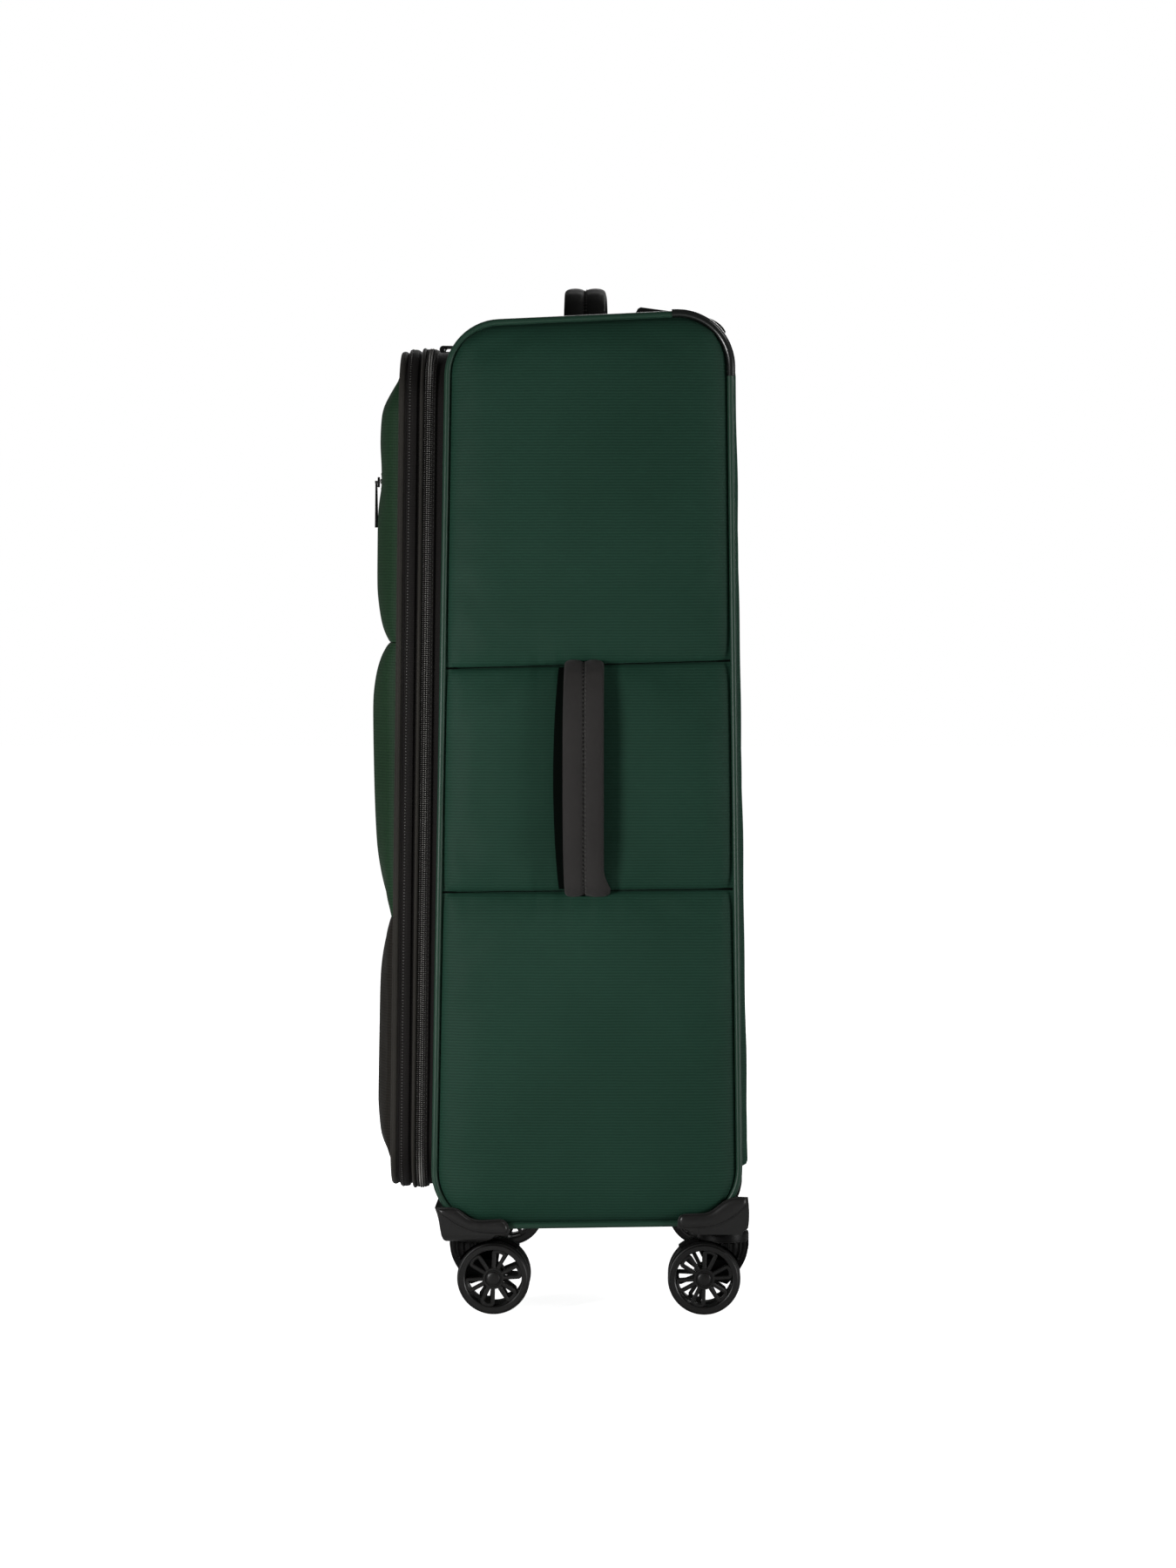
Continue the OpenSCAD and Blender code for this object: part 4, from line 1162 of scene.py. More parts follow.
lobes = lobe_section([(0.0113, 0.0083), (0.0270, 0.0079)])
handle, side_grid = arched("side_handle_pad", beside, lobes, reach + 0.0085, stand_out, 0.0085, black_twill,
                   shift=side_flare, shrink=0.25, replaces=("side_handle",), slot="black_twill")
# The backing stands for the strap's dark side wall beside the handle. Its near-black finish is painted shade,
# so it stays dark under the key lamp.
wall = np.array([(0.0035, 0.10), (0.0042, 0.02), (0.031, 0.02), (0.0318, 0.08), (0.0300, 0.24),
                 (0.004, 0.24), (-0.0002, 0.2)])


def wall_bow(t, across):
    return -0.0042 * (1 - t ** 2) * np.clip((0.012 - across) / 0.010, 0, 1)


arched("side_handle_shaded_backing", beside, wall, reach + 0.007, stand_out - 0.0042, 0.0062,
       painted_shade,
       shift=wall_bow, seed=8, replaces=("side_handle",), slot="black_webbing")
print("side handle stands out", round(stand_out, 4))

# %% Top handle
top_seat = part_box("top_handle")
top_mid = (top_seat[0].x + top_seat[1].x) / 2
top_reach = (top_seat[1].x - top_seat[0].x) / 2
foot_z = top_seat[1].z - 0.0362


def above(along, across, up):
    return np.stack([top_mid + along, across, foot_z + up], -1)


def top_flare(t, across):
    return 0.003 * np.clip((across - 0.02) / 0.013, 0, 1) * np.clip((abs(t) - 0.9) / 0.1, 0, 1)


top_lobes = lobe_section([(0.0087, 0.0084), (0.0249, 0.0084)])
handle, top_grid = arched("top_handle_pad", above, top_lobes, top_reach + 0.002, 0.0362, 0.0085, dark_twill,
                          shift=top_flare,
                   seed=14, replaces=("top_handle",), slot="black_twill")
print("top handle along", round(2 * top_reach, 4))


# %% Sewing on the handles
for word, grid, out in (("side", side_grid, (1, 0, 0)), ("top", top_grid, (0, 0, 1))):
    groove = 15
    lines = [grid[5:-5, groove + k] + 0.0001 * np.array(out) for k in (-2, 2)]
    beads(f"{word}_handle_stitches", lines, [np.tile(out, (len(line), 1)) for line in lines], sewing_thread,
          Pitch=0.0034, Along=0.0021, Across=0.0011, Height=0.0012)
print("handles sewn")

# %% [markdown]
# ## Rounded mouldings
# A moulded part never has a knife edge. The CAD part already has the right shape, so a copy of it is merged
# into clean faces and every sharp edge is bevelled by a millimetre or less, which is what catches the light.


# %% Bevelled copies of CAD parts
def rounded(cad_name, width, material, steps=3, angle=28, name=None):
    work = bmesh.new()
    work.from_mesh(NODES[cad_name].data)
    bmesh.ops.remove_doubles(work, verts=work.verts, dist=2e-6)
    bmesh.ops.dissolve_limit(work, angle_limit=math.radians(1.2), verts=work.verts, edges=work.edges)
    bmesh.ops.recalc_face_normals(work, faces=work.faces)
    mesh = bpy.data.meshes.new(name or f"{cad_name}_moulded")
    work.to_mesh(mesh)
    work.free()
    piece = new_object(mesh.name, mesh)
    change = piece.modifiers.new("bevel", "BEVEL")
    change.width = width
    change.segments = steps
    change.limit_method = "ANGLE"
    change.angle_limit = math.radians(angle)
    done = baked(piece)
    piece.modifiers.clear()
    piece.data = done
    done.materials.clear()
    done.materials.append(material)
    done.shade_smooth()
    done.set_sharp_from_angle(angle=math.radians(32))
    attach(piece, NODES[cad_name]["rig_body"])
    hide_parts(cad_name)
    return piece


corners = ("front_right", "front_left", "rear_right", "rear_left")
for corner in corners:
    bracket = rounded(f"bracket_{corner}", 0.0011, black_plastic)
    if corner.startswith("rear"):
        side = 1 if corner.endswith("right") else -1
        low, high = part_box(f"bracket_{corner}")
        face = high.x if side > 0 else low.x
        slope = [(face - side * 0.003, high.z + 0.0001), (face - side * 0.003, 0.12),
                 (face - side * 0.11, 0.12),
                 (face - side * 0.11, high.z - 0.020)]
        points = [(x, y, z) for y in (0.10, 0.17) for x, z in slope]
        faces = [(0, 1, 2, 3), (7, 6, 5, 4)] + [(k, 4 + k, 4 + (k + 1) % 4, (k + 1) % 4) for k in range(4)]
        cut_away(bracket, [add_piece("cutter", points, faces, black_tape, body=None, angle=0)])
rounded("trolley_housing", 0.0008, black_plastic)
rounded("grip", 0.0012, black_plastic)
rounded("release_button", 0.0007, plated_steel)
rounded("strap_buckle", 0.0009, black_plastic)
for cad_name in ("main_slider_right", "main_slider_left", "main_pull_right", "main_pull_left",
                 "expander_slider",
                 "pocket_slider", "pocket_pull"):
    finish = fork_plastic if cad_name.startswith("pocket") else gloss_plastic
    piece = rounded(cad_name, 0.0004, finish, steps=2)
    if cad_name == "pocket_pull":
        low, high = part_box(cad_name)
        for vertex in piece.data.vertices:
            if vertex.co.y > low.y + 0.0012 and vertex.co.z < high.z - 0.003:
                vertex.co.y += 0.0011
print("mouldings rounded")

# %% [markdown]
# ## Wheels
# A twin wheel has a hard body with six looped petals, twelve spokes in all, and a thin rubber tyre moulded
# round it. The hub, rim and tyre are sections turned round the axle. One petal is a bar bent into a loop, and
# Geometry Nodes set six of them round the hub.

# %% One petal
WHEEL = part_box("wheel_front_right_outer")
wheel_radius = (WHEEL[1].z - WHEEL[0].z) / 2
wheel_width = WHEEL[1].x - WHEEL[0].x


def petal_mesh():
    """A loop of bar from the hub to the rim and back: x along the axle, z up the petal's middle."""
    spread, foot, shoulder = math.radians(12.5), math.radians(10), wheel_radius * 0.70
    path = [(math.sin(-foot) * 0.0068, math.cos(foot) * 0.0068)]
    path += [(-math.sin(spread) * r, math.cos(spread) * r) for r in np.linspace(0.0095, shoulder, 5)]
    middle = (0.0, math.cos(spread) * shoulder)
    half = math.sin(spread) * shoulder
    path += [(-half * math.cos(a), middle[1] + 0.45 * half * math.sin(a))
             for a in np.linspace(0, math.pi, 12)[1:-1]]
    path += [(-y, z) for y, z in reversed(path[:6])]
    path = np.array(path)
    along = np.gradient(path, axis=0)
    along /= np.linalg.norm(along, axis=1)[:, None]
    left = np.stack([-along[:, 1], along[:, 0]], 1)
    half_bar, top, low = 0.00150, wheel_width - 0.0014, wheel_width - 0.0066
    section = [(-half_bar, low), (-half_bar, top - 0.0006), (-half_bar * 0.55, top), (half_bar * 0.55, top),
               (half_bar, top - 0.0006), (half_bar, low)]
    points = [(x, path[k][0] + left[k][0] * w, path[k][1] + left[k][1] * w) for k in range(len(path)) for w,
              x in section]
    count = len(section)
    faces = tube_faces(len(path), count)
    return points, faces


def around_tree():
    tree = bpy.data.node_groups.new("petals_round_a_hub", "GeometryNodeTree")
    tree.interface.new_socket("Geometry", in_out="INPUT", socket_type="NodeSocketGeometry")
    tree.interface.new_socket("Geometry", in_out="OUTPUT", socket_type="NodeSocketGeometry")
    tree.interface.new_socket("Count", in_out="INPUT", socket_type="NodeSocketInt").default_value = 6
    tree.interface.new_socket("Start", in_out="INPUT", socket_type="NodeSocketFloat").default_value = 0.2
    tree.interface.new_socket("Finish", in_out="INPUT", socket_type="NodeSocketMaterial")
    given = node(tree, "NodeGroupInput").outputs
    spots = node(tree, "GeometryNodePoints", {"Count": given["Count"]}).outputs[0]
    step = calc(tree, "DIVIDE", 2 * math.pi, given["Count"])
    turn = calc(tree, "ADD", calc(tree, "MULTIPLY", node(tree, "GeometryNodeInputIndex").outputs[0], step),
                given["Start"])
    angles = node(tree, "ShaderNodeCombineXYZ", {0: turn}).outputs[0]
    spin = node(tree, "FunctionNodeEulerToRotation", {0: angles}).outputs[0]
    placed = node(tree, "GeometryNodeInstanceOnPoints",
                  {"Points": spots, "Instance": given["Geometry"], "Rotation": spin}).outputs[0]
    real = node(tree, "GeometryNodeRealizeInstances", {"Geometry": placed}).outputs[0]
    done = node(tree, "GeometryNodeSetMaterial", {"Geometry": real, "Material": given["Finish"]}).outputs[0]
    node(tree, "NodeGroupOutput", {"Geometry": done})
    return tree


AROUND = around_tree()


def petals(start):
    """Six petals as plain points and faces, in the wheel's own axes."""
    points, faces = petal_mesh()
    mesh = bpy.data.meshes.new("petal")
    mesh.from_pydata(points, [], faces)
    piece = new_object("petal", mesh)
    change = piece.modifiers.new("petals", "NODES")
    change.node_group = AROUND
    for item in AROUND.interface.items_tree:
        if item.in_out == "INPUT" and item.name in ("Start", "Finish"):
            change[item.identifier] = start if item.name == "Start" else wheel_plastic
    done = baked(piece)
    found = [tuple(v.co) for v in done.vertices], [tuple(f.vertices) for f in done.polygons]
    bpy.data.objects.remove(piece)
    bpy.data.meshes.remove(done)
    return found


# %% Turned sections
def turned(section, steps=96):
    """Turns a closed (radius, height) section round the x axis. A radius of 0 becomes one point."""
    points, rings = [], []
    for radius, height in section:
        if radius < 1e-7:
            rings.append([len(points)] * steps)
            points.append((height, 0, 0))
            continue
        rings.append(list(range(len(points), len(points) + steps)))
        points += [(height, radius * math.sin(a), radius * math.cos(a))
                   for a in np.linspace(0, 2 * math.pi, steps, endpoint=False)]
    faces = []
    for a, b in zip(rings, rings[1:] + rings[:1]):
        for k in range(steps):
            n = (k + 1) % steps
            corner = list(dict.fromkeys((a[k], a[n], b[n], b[k])))
            if len(corner) > 2:
                faces.append(tuple(corner))
    return points, faces


def joined(*shapes):
    points, faces = [], []
    for more_points, more_faces in shapes:
        first = len(points)
        points += list(more_points)
        faces += [tuple(first + i for i in f) for f in more_faces]
    return points, faces


w, r = wheel_width, wheel_radius
HUB = [(0.0026, 0), (0.006, 0), (0.0062, 0.005), (0.0082, 0.0066), (0.0084, w - 0.0016), (0.0080, w - 0.0011),
       (0.0066, w - 0.0010), (0.0061, w - 0.0018), (0.0053, w - 0.0018), (0.0049, w - 0.0008),
       (0.0043, w - 0.0004),
       (0.0022, w - 0.0002), (0.0, w - 0.0001), (0.0, w - 0.0011), (0.0026, w - 0.0011)]
RIM = [(r - 0.0067, 0.0006), (r - 0.0064, w - 0.0016), (r - 0.0060, w - 0.0006), (r - 0.0054, w - 0.0002),
       (r - 0.0026, w - 0.0002), (r - 0.0019, w - 0.0008), (r - 0.0017, w - 0.0018), (r - 0.0017, 0.0012),
       (r - 0.0022, 0.0006)]
TYRE = [(r - 0.0018, 0.0009), (r - 0.0008, 0.0011), (r - 0.0002, 0.0019), (r, 0.0032), (r, w - 0.0042),
        (r - 0.0003, w - 0.0024), (r - 0.0009, w - 0.0013), (r - 0.0016, w - 0.0010)]
print("wheel radius", round(r, 4), "width", round(w, 4))

# %% Eight wheels
for k, corner in enumerate(corners):
    for place_word in ("outer", "inner"):
        cad_name = f"wheel_{corner}_{place_word}"
        low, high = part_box(cad_name)
        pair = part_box(f"wheel_{corner}_{'inner' if place_word == 'outer' else 'outer'}")
        facing = 1 if low.x > pair[0].x else -1
        inner_x = low.x if facing > 0 else high.x
        centre = np.array([inner_x, (low.y + high.y) / 2, (low.z + high.z) / 2])
        for part, shapes, finish, slot in (
                ("wheel", (turned(HUB, 64), turned(RIM),
                           petals(-0.244 - (0.11 if place_word == "inner" else 0.0))), wheel_plastic,
                           "black_plastic"),
                ("tyre", (turned(TYRE),), tyre_rubber, "wheel_rubber")):
            points, faces = joined(*shapes)
            placed = np.array(points) * np.array([facing, 1, 1]) + centre
            made = add_piece(f"{part}_{corner}_{place_word}", placed, faces, finish, body=cad_name, angle=32,
                             replaces=(cad_name,), slot=slot)
print("wheels made")

# %% [markdown]
# ## Corner guards
# A hard half-round guard covers the piping at each upper rear corner, with a flange over the top. It is one
# section carried round the corner, on an outline with finer steps so that its shine runs smoothly.

# %% Guards
fine_outline = Outline(BODY_CORNERS, arc=30, run=0.0025)
guard_run = np.flatnonzero((fine_outline.base[:, 0] > 0.087) & (fine_outline.base[:, 1] > 0.731))
for side, word in ((1, "right"), (-1, "left")):
    bow = [(0.0016 - 0.0034 * math.cos(a), side * (WALL_X + 0.0020 + 0.0040 * math.sin(a)))
           for a in np.linspace(0, math.pi, 16)]
    flange = [(0.0046, side * (WALL_X + 0.0004)), (0.0005, side * (WALL_X - 0.0004)),
              (0.0001, side * (WALL_X - 0.0135)),
              (-0.0008, side * (WALL_X - 0.0140)), (-0.0014, side * (WALL_X - 0.0130)),
              (-0.0018, side * (WALL_X - 0.0020))]
    add_ring(f"corner_guard_{word}", fine_outline, on_side, bow + flange, gloss_plastic, keep=guard_run,
             replaces=("corner_guards",), slot="gloss_plastic")
print("guard stations", len(guard_run))

# %% [markdown]
# ## Caster forks
# A caster's fork is a bell under the bracket, ribbed on its leading side, a web between the two wheels and a
# hood over them. The bell is turned round the swivel axis and cut clear of the wheels; the web is a flat
# outline given a thickness and a bevel.


# %% Fork shapes
def bent(points, steps):
    """A cubic curve through control points in millimetres of (depth, height)."""
    a, b, c, d = (np.array(p) / 1000 for p in points)
    t = np.linspace(0, 1, steps)[:, None]
    return (1 - t) ** 3 * a + 3 * (1 - t) ** 2 * t * b + 3 * (1 - t) * t * t * c + t ** 3 * d


def prism(outline, half):
    """A flat outline of (depth, height) points with a bevelled thickness along x."""
    flat = np.array(outline)
    middle = flat.mean(0)
    count = len(flat)
    rings = []
    for x, draw in ((-half, 0.0006), (-half + 0.0006, 0.0), (half - 0.0006, 0.0), (half, 0.0006)):
        ahead, behind = np.roll(flat, -1, 0) - flat, flat - np.roll(flat, 1, 0)
        along = (ahead / np.linalg.norm(ahead, axis=1)[:, None]
                 + behind / np.linalg.norm(behind, axis=1)[:, None])
        along /= np.linalg.norm(along, axis=1)[:, None] + 1e-9
        inward = np.stack([-along[:, 1], along[:, 0]], 1)
        drawn = flat + inward * draw
        rings.append(np.column_stack([np.full(count, x), drawn]))
    faces = grid_faces(4, count, wrap=True)
    faces += [tuple(reversed(range(count))), tuple(3 * count + k for k in range(count))]
    return np.concatenate(rings), faces


def ring_points(radius, start, stop, steps):
    return [(radius * math.cos(math.radians(a)), radius * math.sin(math.radians(a)))
            for a in np.linspace(start, stop, steps)]


def fork_web():
    """Depth is measured from the axle, positive on the trailing side. The outline runs anticlockwise."""
    top = 0.0299
    hood = [(y, min(z, top)) for y, z in ring_points(wheel_radius + 0.0027, 50, 92, 12)]
    lead = [(-0.0150, top),
            (-0.0340, top)] + [tuple(p) for p in bent([(-34.6, 29), (-35.2, 18), (-32, 8), (-18, -6)], 14)]
    hub = ring_points(0.0088, 200, 440, 20)
    inner = [(0.0016, 0.0150), (0.0020, 0.0225)] + ring_points(wheel_radius - 0.0040, 83, 50, 8)
    return hood + lead + hub + inner


def fork_bell(trail):
    """The swivel axis is at y = -trail. Grooves between the ribs are on the leading side."""
    section = [(0.0, 0.0301), (0.0190, 0.0301), (0.0201, 0.0294), (0.0201, 0.0284), (0.0201, 0.0274),
               (0.0201, 0.0245),
               (0.0197, 0.0215), (0.0188, 0.0190), (0.0177, 0.0165), (0.0171, 0.0153), (0.0150, 0.0135),
               (0.0, 0.0125)]
    depth = [0, 0, 0, 0, 1, 1, 1, 1, 1, 0, 0, 0]
    angles = np.linspace(0, 2 * math.pi, 240, endpoint=False)
    lead = np.degrees((angles - 1.5 * math.pi + math.pi) % (2 * math.pi) - math.pi)
    rib = np.exp(-(((lead + 7.75) % 15.5 - 7.75) / 2.6) ** 4)
    groove = 0.0021 * (1 - rib) * (abs(lead) < 100)
    points, rings = [], []
    for (radius, height), share in zip(section, depth):
        if radius == 0:
            rings.append([len(points)] * len(angles))
            points.append((0, -trail, height))
            continue
        here = radius - share * groove
        rings.append(list(range(len(points), len(points) + len(angles))))
        points += [(r * math.cos(a), -trail + r * math.sin(a), height) for r, a in zip(here, angles)]
    faces = []
    for a, b in zip(rings, rings[1:]):
        for k in range(len(angles)):
            n = (k + 1) % len(angles)
            corner = list(dict.fromkeys((a[k], b[k], b[n], a[n])))
            if len(corner) > 2:
                faces.append(tuple(corner))
    return np.array(points), faces


# %% Four forks
TRAIL = 0.015
for corner in corners:
    low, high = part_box(f"wheel_{corner}_outer")
    pair_low, pair_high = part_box(f"wheel_{corner}_inner")
    centre = np.array([(min(low.x, pair_low.x) + max(high.x, pair_high.x)) / 2, (low.y + high.y) / 2,
                       (low.z + high.z) / 2])
    turn = 1 if corner.startswith("front") else -1
    place = np.array([1, turn, 1])
    bell_points, bell_faces = fork_bell(TRAIL)
    fork = add_piece(f"fork_{corner}_moulded", bell_points * place + centre, bell_faces, fork_plastic,
                     body=NODES[f"fork_{corner}"]["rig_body"], replaces=(f"fork_{corner}",),
                     slot="black_plastic", angle=0)
    clear = []
    for side in (-1, 1):
        points, faces = turned([(0.0, 0.0), (wheel_radius + 0.0015, 0.0), (wheel_radius + 0.0015, 0.02),
                                (0.0, 0.02)], 72)
        points = np.array(points) * np.array([side, 1, 1]) + np.array([side * 0.0065, 0, 0]) + centre
        clear.append(add_piece("cutter", points, faces, black_tape, body=None, angle=0))
    cut_away(fork, clear)
    fork.data.set_sharp_from_angle(angle=math.radians(35))
    web_points, web_faces = prism(fork_web(), 0.0065)
    shapes = []
    if turn < 0:
        collar = [(0.0143, 0.0296), (0.0143, 0.0364), (0.0188, 0.0364), (0.0197, 0.0354), (0.0201, 0.0340),
                  (0.0201, 0.0296)]
        points, faces = turned(collar, 96)
        shapes.append(("collar", np.array([(y, -TRAIL + z, x) for x, y, z in points]), faces))
    stem_points, stem_faces = turned([(0.0, 0.0120), (0.00385, 0.0120), (0.00385, 0.0425), (0.0, 0.0432)], 32)
    stem_points = np.array([(y, -TRAIL + z, x) for x, y, z in stem_points])
    for part, points, faces in shapes + [("web", web_points, web_faces), ("stem", stem_points, stem_faces)]:
        add_piece(f"fork_{part}_{corner}", points * place + centre, faces, fork_plastic,
                  body=NODES[f"fork_{corner}"]["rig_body"], replaces=(f"fork_{corner}",), slot="black_plastic")
print("forks made")

# %% [markdown]
# ## Bracket lobes
# The raised lobe of a corner bracket is crowned. Its two edges are the CAD's own curves, and the skin between
# them swells a little over the bracket's flat face.


# %% Lobes on the brackets
def lobe(name, upper, lower, face, out, bracket):
    upper, lower = resample(upper, np.linspace(0, 1, 60)), resample(lower, np.linspace(0, 1, 60))
    v = np.linspace(0, 1, 13)[:, None]
    u = np.linspace(0, 1, 60)[None, :]
    flat = lower[None] * (1 - v[..., None]) + upper[None] * v[..., None]
    rise = 0.0021 * (1 - abs(2 * v - 1) ** 2.6) ** 0.7 * (1 - abs(2 * u - 1) ** 16)
    outer = np.stack([face + out * (rise - 0.0001), flat[..., 0], flat[..., 1]], 2)
    inner = np.stack([np.full(rise.shape, face - out * 0.0012), flat[..., 0], flat[..., 1]], 2)
    points, faces, maps = closed_pad(outer, inner, flat)
    add_piece(name, points, faces, black_plastic, maps=maps, replaces=(bracket,), slot="black_plastic",
              angle=50)


front_upper_edge = np.concatenate([[(-0.0945, 0.0850), (-0.0850, 0.0856)],
                                   bent([(-84, 85.6), (-75.4, 85.6), (-74.4, 75.6), (-60, 75.6)], 16),
                                   bent([(-46, 76.6), (-42, 76.1), (-39.2, 72), (-40.4, 68)], 10)])
front_lower_edge = np.concatenate([[(-0.0938, 0.0812)],
                                   bent([(-92, 80.8), (-85, 77.5), (-77, 66.2), (-50, 66.2)], 24),
                                   [(-0.0420, 0.0664)]])
rear_upper_edge = np.concatenate([[(0.0926, 0.0770)],
                                  bent([(95, 80.8), (96, 81), (98, 81.2), (100, 81.2)], 5),
                                  bent([(113, 81.7), (122, 82.7), (127.6, 94.4), (139, 94.4)], 16),
                                  [(0.1455, 0.0944)]])
rear_lower_edge = np.concatenate([[(0.0940, 0.0716), (0.0975, 0.0710)],
                                  bent([(108, 71.0), (127, 71.8), (139, 80.6), (146, 90)], 24)])
for corner in corners:
    side = 1 if corner.endswith("right") else -1
    low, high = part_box(f"bracket_{corner}")
    edges = ((front_upper_edge, front_lower_edge) if corner.startswith("front")
             else (rear_upper_edge, rear_lower_edge))
    lobe(f"bracket_lobe_{corner}", *edges, high.x if side > 0 else low.x, side, f"bracket_{corner}")
print("lobes made")

# %% [markdown]
# ## Metal parts
# The pull handle's tubes, the axles and the screws are already right, so they keep their CAD shape and take a
# drawn or plated finish.

# %% Finishes on the CAD parts
def finish_cad(names, material):
    for name in names:
        for slot in NODES[name].material_slots:
            slot.material = material


finish_cad(("outer_tubes", "middle_tubes", "inner_tubes"), drawn_metal)
finish_cad([f"axle_{corner}" for corner in corners] + ["bracket_screws"], plated_steel)
print("metal finished")

# %% [markdown]
# ## Pocket zip
# The upper front pocket opens with a zip laid flat across its crown. A strip of tape carries the coil, and a
# line of sewing holds each edge of it down.

# %% Pocket zip
zip_low, zip_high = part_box("pocket_zip")
zip_half = (zip_high.x - zip_low.x) / 2
zip_z = (zip_low.z + zip_high.z) / 2 - LOOP_Z
CROWN = FRONT_BASE - 0.0177


def flat_strip(name, half_long, half_wide, y_back, y_front, material, body, **extra):
    """A strip lying across the front, thinner along its edges."""
    x = np.linspace(-half_long, half_long, 90)
    w = np.array([-1, -0.96, -0.8, -0.3, 0.3, 0.8, 0.96, 1.0])
    rise = np.array([0.25, 0.8, 1, 0.8, 0.8, 1, 0.8, 0.25])
    waver = 0.0001 * ripple(x, 3, (0.012, 0.031))
    flat = np.stack(np.broadcast_arrays(x[None, :], zip_z + w[:, None] * half_wide), 2)
    y = y_back + (y_front - y_back) * rise[:, None] + waver[None, :]
    outer = on_front(flat.reshape(-1, 2), y.ravel()).reshape(len(w), len(x), 3)
    inner = on_front(flat.reshape(-1, 2), np.full(flat.shape[0] * flat.shape[1], y_back)).reshape(outer.shape)
    points, faces, maps = closed_pad(outer, inner, flat)
    return add_piece(name, points, faces, material, body=body, maps=maps, angle=50, **extra)


flat_strip("pocket_zip_tape", zip_half, 0.0075, CROWN + 0.0012, CROWN - 0.0005, black_tape, "front_section",
           replaces=("pocket_zip",), slot="black_webbing")
runs = np.linspace(-zip_half, zip_half, 80)
face_on = np.tile((0, -1, 0), (len(runs), 1))
# The pocket zip's coil takes the same pale finish, which is partly painted highlight.
for word, level, depth, finish, sizes in (
        ("coil", 0.0, CROWN - 0.0007, zip_plastic_and_glint,
         dict(Pitch=0.0022, Along=0.0013, Across=0.0040, Height=0.0014)),
        ("stitches_low", -0.0058, CROWN - 0.0006, sewing_thread,
         dict(Pitch=0.0036, Along=0.0026, Across=0.0005, Height=0.0006)),
        ("stitches_high", 0.0058, CROWN - 0.0006, sewing_thread,
         dict(Pitch=0.0036, Along=0.0026, Across=0.0005, Height=0.0006))):
    line = on_front(np.stack([runs, np.full(len(runs), zip_z + level)], 1), depth)
    beads(f"pocket_zip_{word}", line, face_on, finish, body="front_section", **sizes)
print("pocket zip along", round(2 * zip_half, 3))

# %% [markdown]
# ## Inside the case
# The lining is one thin cloth box, cut open under the lid. Two padded tunnels cover the pull handle's
# tubes, four webbing straps meet at the buckle, and the lid has its own lining with a net pocket bound
# round the edge.

# %% Body lining
low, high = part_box("lining")
lining_half = (high.x - low.x) / 2
lining_mid = (high.x + low.x) / 2


outline_low = float(body_outline.at(0)[:, 1].min())
lining_inset = low.z - outline_low
side = [(lining_inset, s * (lining_half - 0.0002)) for s in np.linspace(-1, 1, 25)]
inner_side = [(lining_inset + 0.0011, s * (lining_half - 0.0002)) for s in np.linspace(1, -1, 5)]


def inside(p, x):
    found = on_side(p, x)
    found[:, 0] += lining_mid - MID_X
    return found


lining_wrap = add_ring("lining_wrap", body_outline, inside, side + inner_side, lining_cloth, angle=50,
                       replaces=("lining",), slot="lining_fabric")
cut_away(lining_wrap,
         [cutter_box((MID_X - 0.0975, 0.070, 0.74), (MID_X + 0.0975, 0.127, 0.9)),
          cutter_loop(0.0035, 0.06, -0.02)])
for sign, word in ((1, "right"), (-1, "left")):
    u, v = np.linspace(0, 1, 30), np.linspace(0, 1, 70)
    flat = drum_skin(body_outline, lining_inset + 0.0012, u, v)
    edge = np.minimum(np.minimum(u, 1 - u)[None, :] * 0.2, np.minimum(v, 1 - v)[:, None] * 0.65)
    waves = 1 + 0.6 * ripple(flat[..., 1], 60 + sign, (0.07, 0.13, 0.19))
    slack = 0.0009 * (1 - np.exp(-edge / 0.02)) * waves
    x = lining_mid + sign * (lining_half - 0.0014 - slack)
    outer = np.concatenate([x[..., None], flat], 2)
    inner = np.concatenate([(x + sign * 0.0007)[..., None], flat], 2)
    points, faces, maps = closed_pad(outer, inner, flat)
    sheet = add_piece(f"lining_side_{word}", points, faces, lining_cloth, maps=maps, angle=60,
                      replaces=("lining",), slot="lining_fabric")
    cut_away(sheet, [cutter_loop(0.0035, 0.06, -0.02)])
print("lining sheets ready")

# %% Tunnels over the tubes
tube_low, tube_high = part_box("tube_covers")
gap = (tube_high.x - tube_low.x) / 2 - 0.015
for which, sign in (("right", 1), ("left", -1)):
    u, v = np.linspace(0, 1, 26), np.linspace(0, 1, 120)
    across = np.sin((2 * u - 1) * math.pi / 2)
    level = tube_low.z + 0.003 + (tube_high.z - tube_low.z - 0.006) * v
    seams = 0.5 + 0.5 * np.cos(2 * math.pi * (level - level[0]) / 0.082)
    dome = (1 - np.abs(across[None, :]) ** 4) ** 0.6
    height = 0.0085 * dome * (1 - 0.35 * seams[:, None] ** 12) * (1 - 0.5 * np.abs(2 * v - 1)[:, None] ** 30)
    x = MID_X + sign * gap + across[None, :] * 0.0149 + 0 * level[:, None]
    front_y = tube_low.y + 0.0085 + 0.0003
    outer = np.stack([x, front_y - height, level[:, None] + 0 * x], 2)
    inner = np.stack([x, np.full(x.shape, front_y), level[:, None] + 0 * x], 2)
    points, faces, maps = closed_pad(outer, inner, np.stack([x, level[:, None] + 0 * x], 2))
    tunnel = add_piece(f"tube_cover_{which}", points, faces, lining_cloth, maps=maps, angle=60,
                       replaces=("tube_covers",), slot="lining_fabric")
print("tunnels ready")

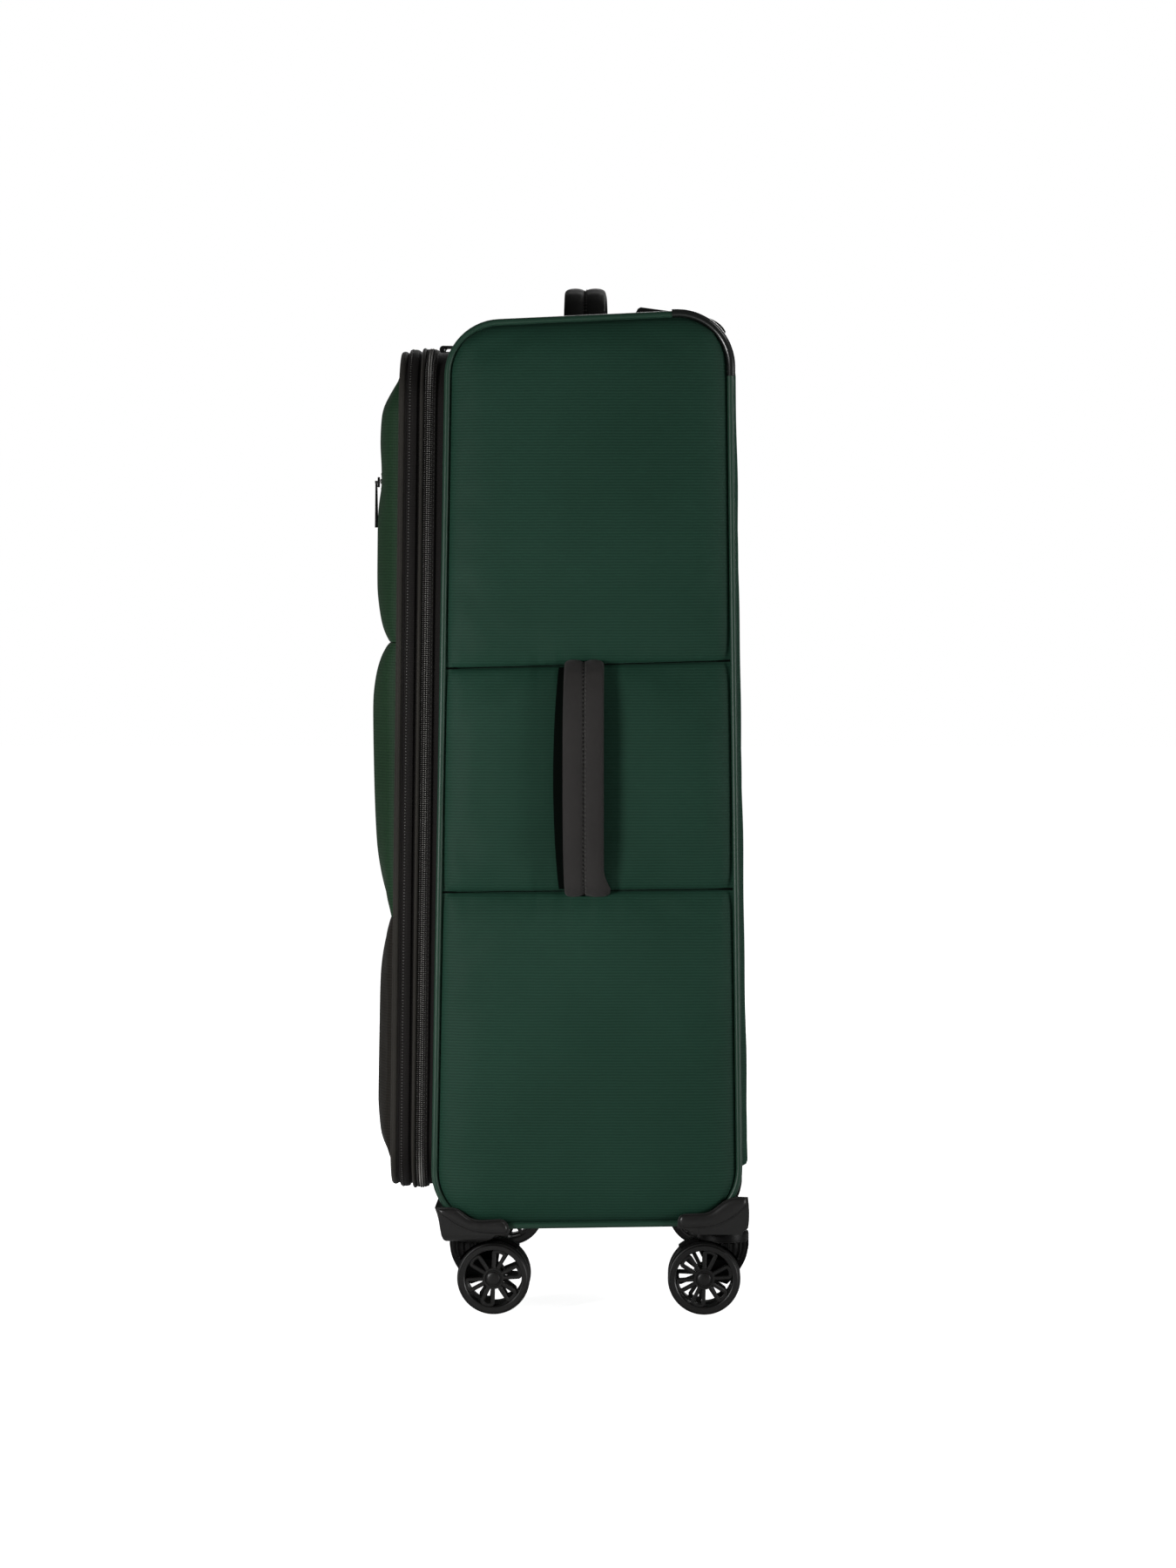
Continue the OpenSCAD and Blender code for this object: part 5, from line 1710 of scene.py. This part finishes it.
# %% Packing straps
strap_low, strap_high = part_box("packing_straps")
buckle_low, buckle_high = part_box("strap_buckle")
buckle_z = (buckle_low.z + buckle_high.z) / 2
strap_end = (strap_high.x - strap_low.x) / 2
WEB = [(-0.5, 0.25), (-0.46, 0.9), (-0.3, 1.0), (0.3, 1.0), (0.46, 0.9), (0.5, 0.25), (0.44, 0.0),
       (-0.44, 0.0)]
for sign_x, word_x in ((1, "right"), (-1, "left")):
    for sign_z, word_z in ((1, "high"), (-1, "low")):
        start = np.array([sign_x * 0.010, buckle_z + sign_z * 0.010])
        stop = np.array([sign_x * (strap_end - 0.0012), buckle_z + sign_z * 0.199])
        way = (stop - start) / np.linalg.norm(stop - start)
        left = np.array([-way[1], way[0]])
        steps = np.linspace(0, 1, 60)
        points, maps = [], []
        for t in steps:
            middle = start + (stop - start) * t
            sag = 0.0006 * math.sin(math.pi * t) ** 0.5
            for across, share in WEB:
                x, z = middle + left * across * 0.016
                points.append((MID_X + x, strap_high.y - 0.0001 - 0.0012 * share - sag, z))
                maps.append((across * 0.016, t * 0.28))
        count = len(WEB)
        faces = tube_faces(len(steps), count)
        add_piece(f"packing_strap_{word_z}_{word_x}", points, faces, black_tape, maps=maps, angle=50,
                  replaces=("packing_straps",), slot="black_webbing")
print("straps ready")

# %% Lid lining and net pocket
def lid_sheet(name, inset, depth, thick, wrinkle, seed, material, replaces, slot):
    u, v = np.linspace(0, 1, 60), np.linspace(0, 1, 84)
    flat = drum_skin(front_outline, inset, u, v)
    edge = np.minimum(np.minimum(u, 1 - u)[None, :] * 0.42, np.minimum(v, 1 - v)[:, None] * 0.64)
    wave_up = wrinkle * (1 - np.exp(-edge / 0.03)) * ripple(flat[..., 0] * 0.6 + flat[..., 1], seed,
                                                            (0.06, 0.11, 0.17))
    outer = on_front(flat.reshape(-1, 2), (depth + wave_up).ravel()).reshape(flat.shape[:2] + (3,))
    inner = on_front(flat.reshape(-1, 2), (depth + wave_up - thick).ravel()).reshape(outer.shape)
    points, faces, maps = closed_pad(outer, inner, flat)
    sheet = add_piece(name, points, faces, material, body="front_section", maps=maps, angle=60,
                      replaces=replaces, slot=slot)


lid_sheet("lid_lining_cloth", 0.0088, -0.0187, 0.0009, 0.00015, 71, lining_cloth, ("lid_lining",),
          "lining_fabric")
lid_sheet("net_pocket", 0.0240, -0.0137, 0.0003, 0.0003, 73, pocket_net, ("mesh_pocket",), "mesh_fabric")
add_ring("net_binding", profile=oval((0.0238, -0.0145), 0.0030, 0.0013, 12), material=edge_binding,
         body="front_section",
         replaces=("mesh_pocket",), slot="black_webbing", **full_ring)
fold = [(0.0268, -0.0150), (0.0212, -0.0150), (0.0212, -0.0184), (0.0222, -0.0184), (0.0222, -0.0160),
        (0.0268, -0.0160)]
add_ring("net_gather", profile=fold, material=black_tape, body="front_section", slot="black_webbing",
         **full_ring)
print("lid inside ready")

# %% What still shows as CAD
left_over = sorted(n for n, piece in NODES.items() if not piece.hide_render)
print("CAD parts shown:", left_over)
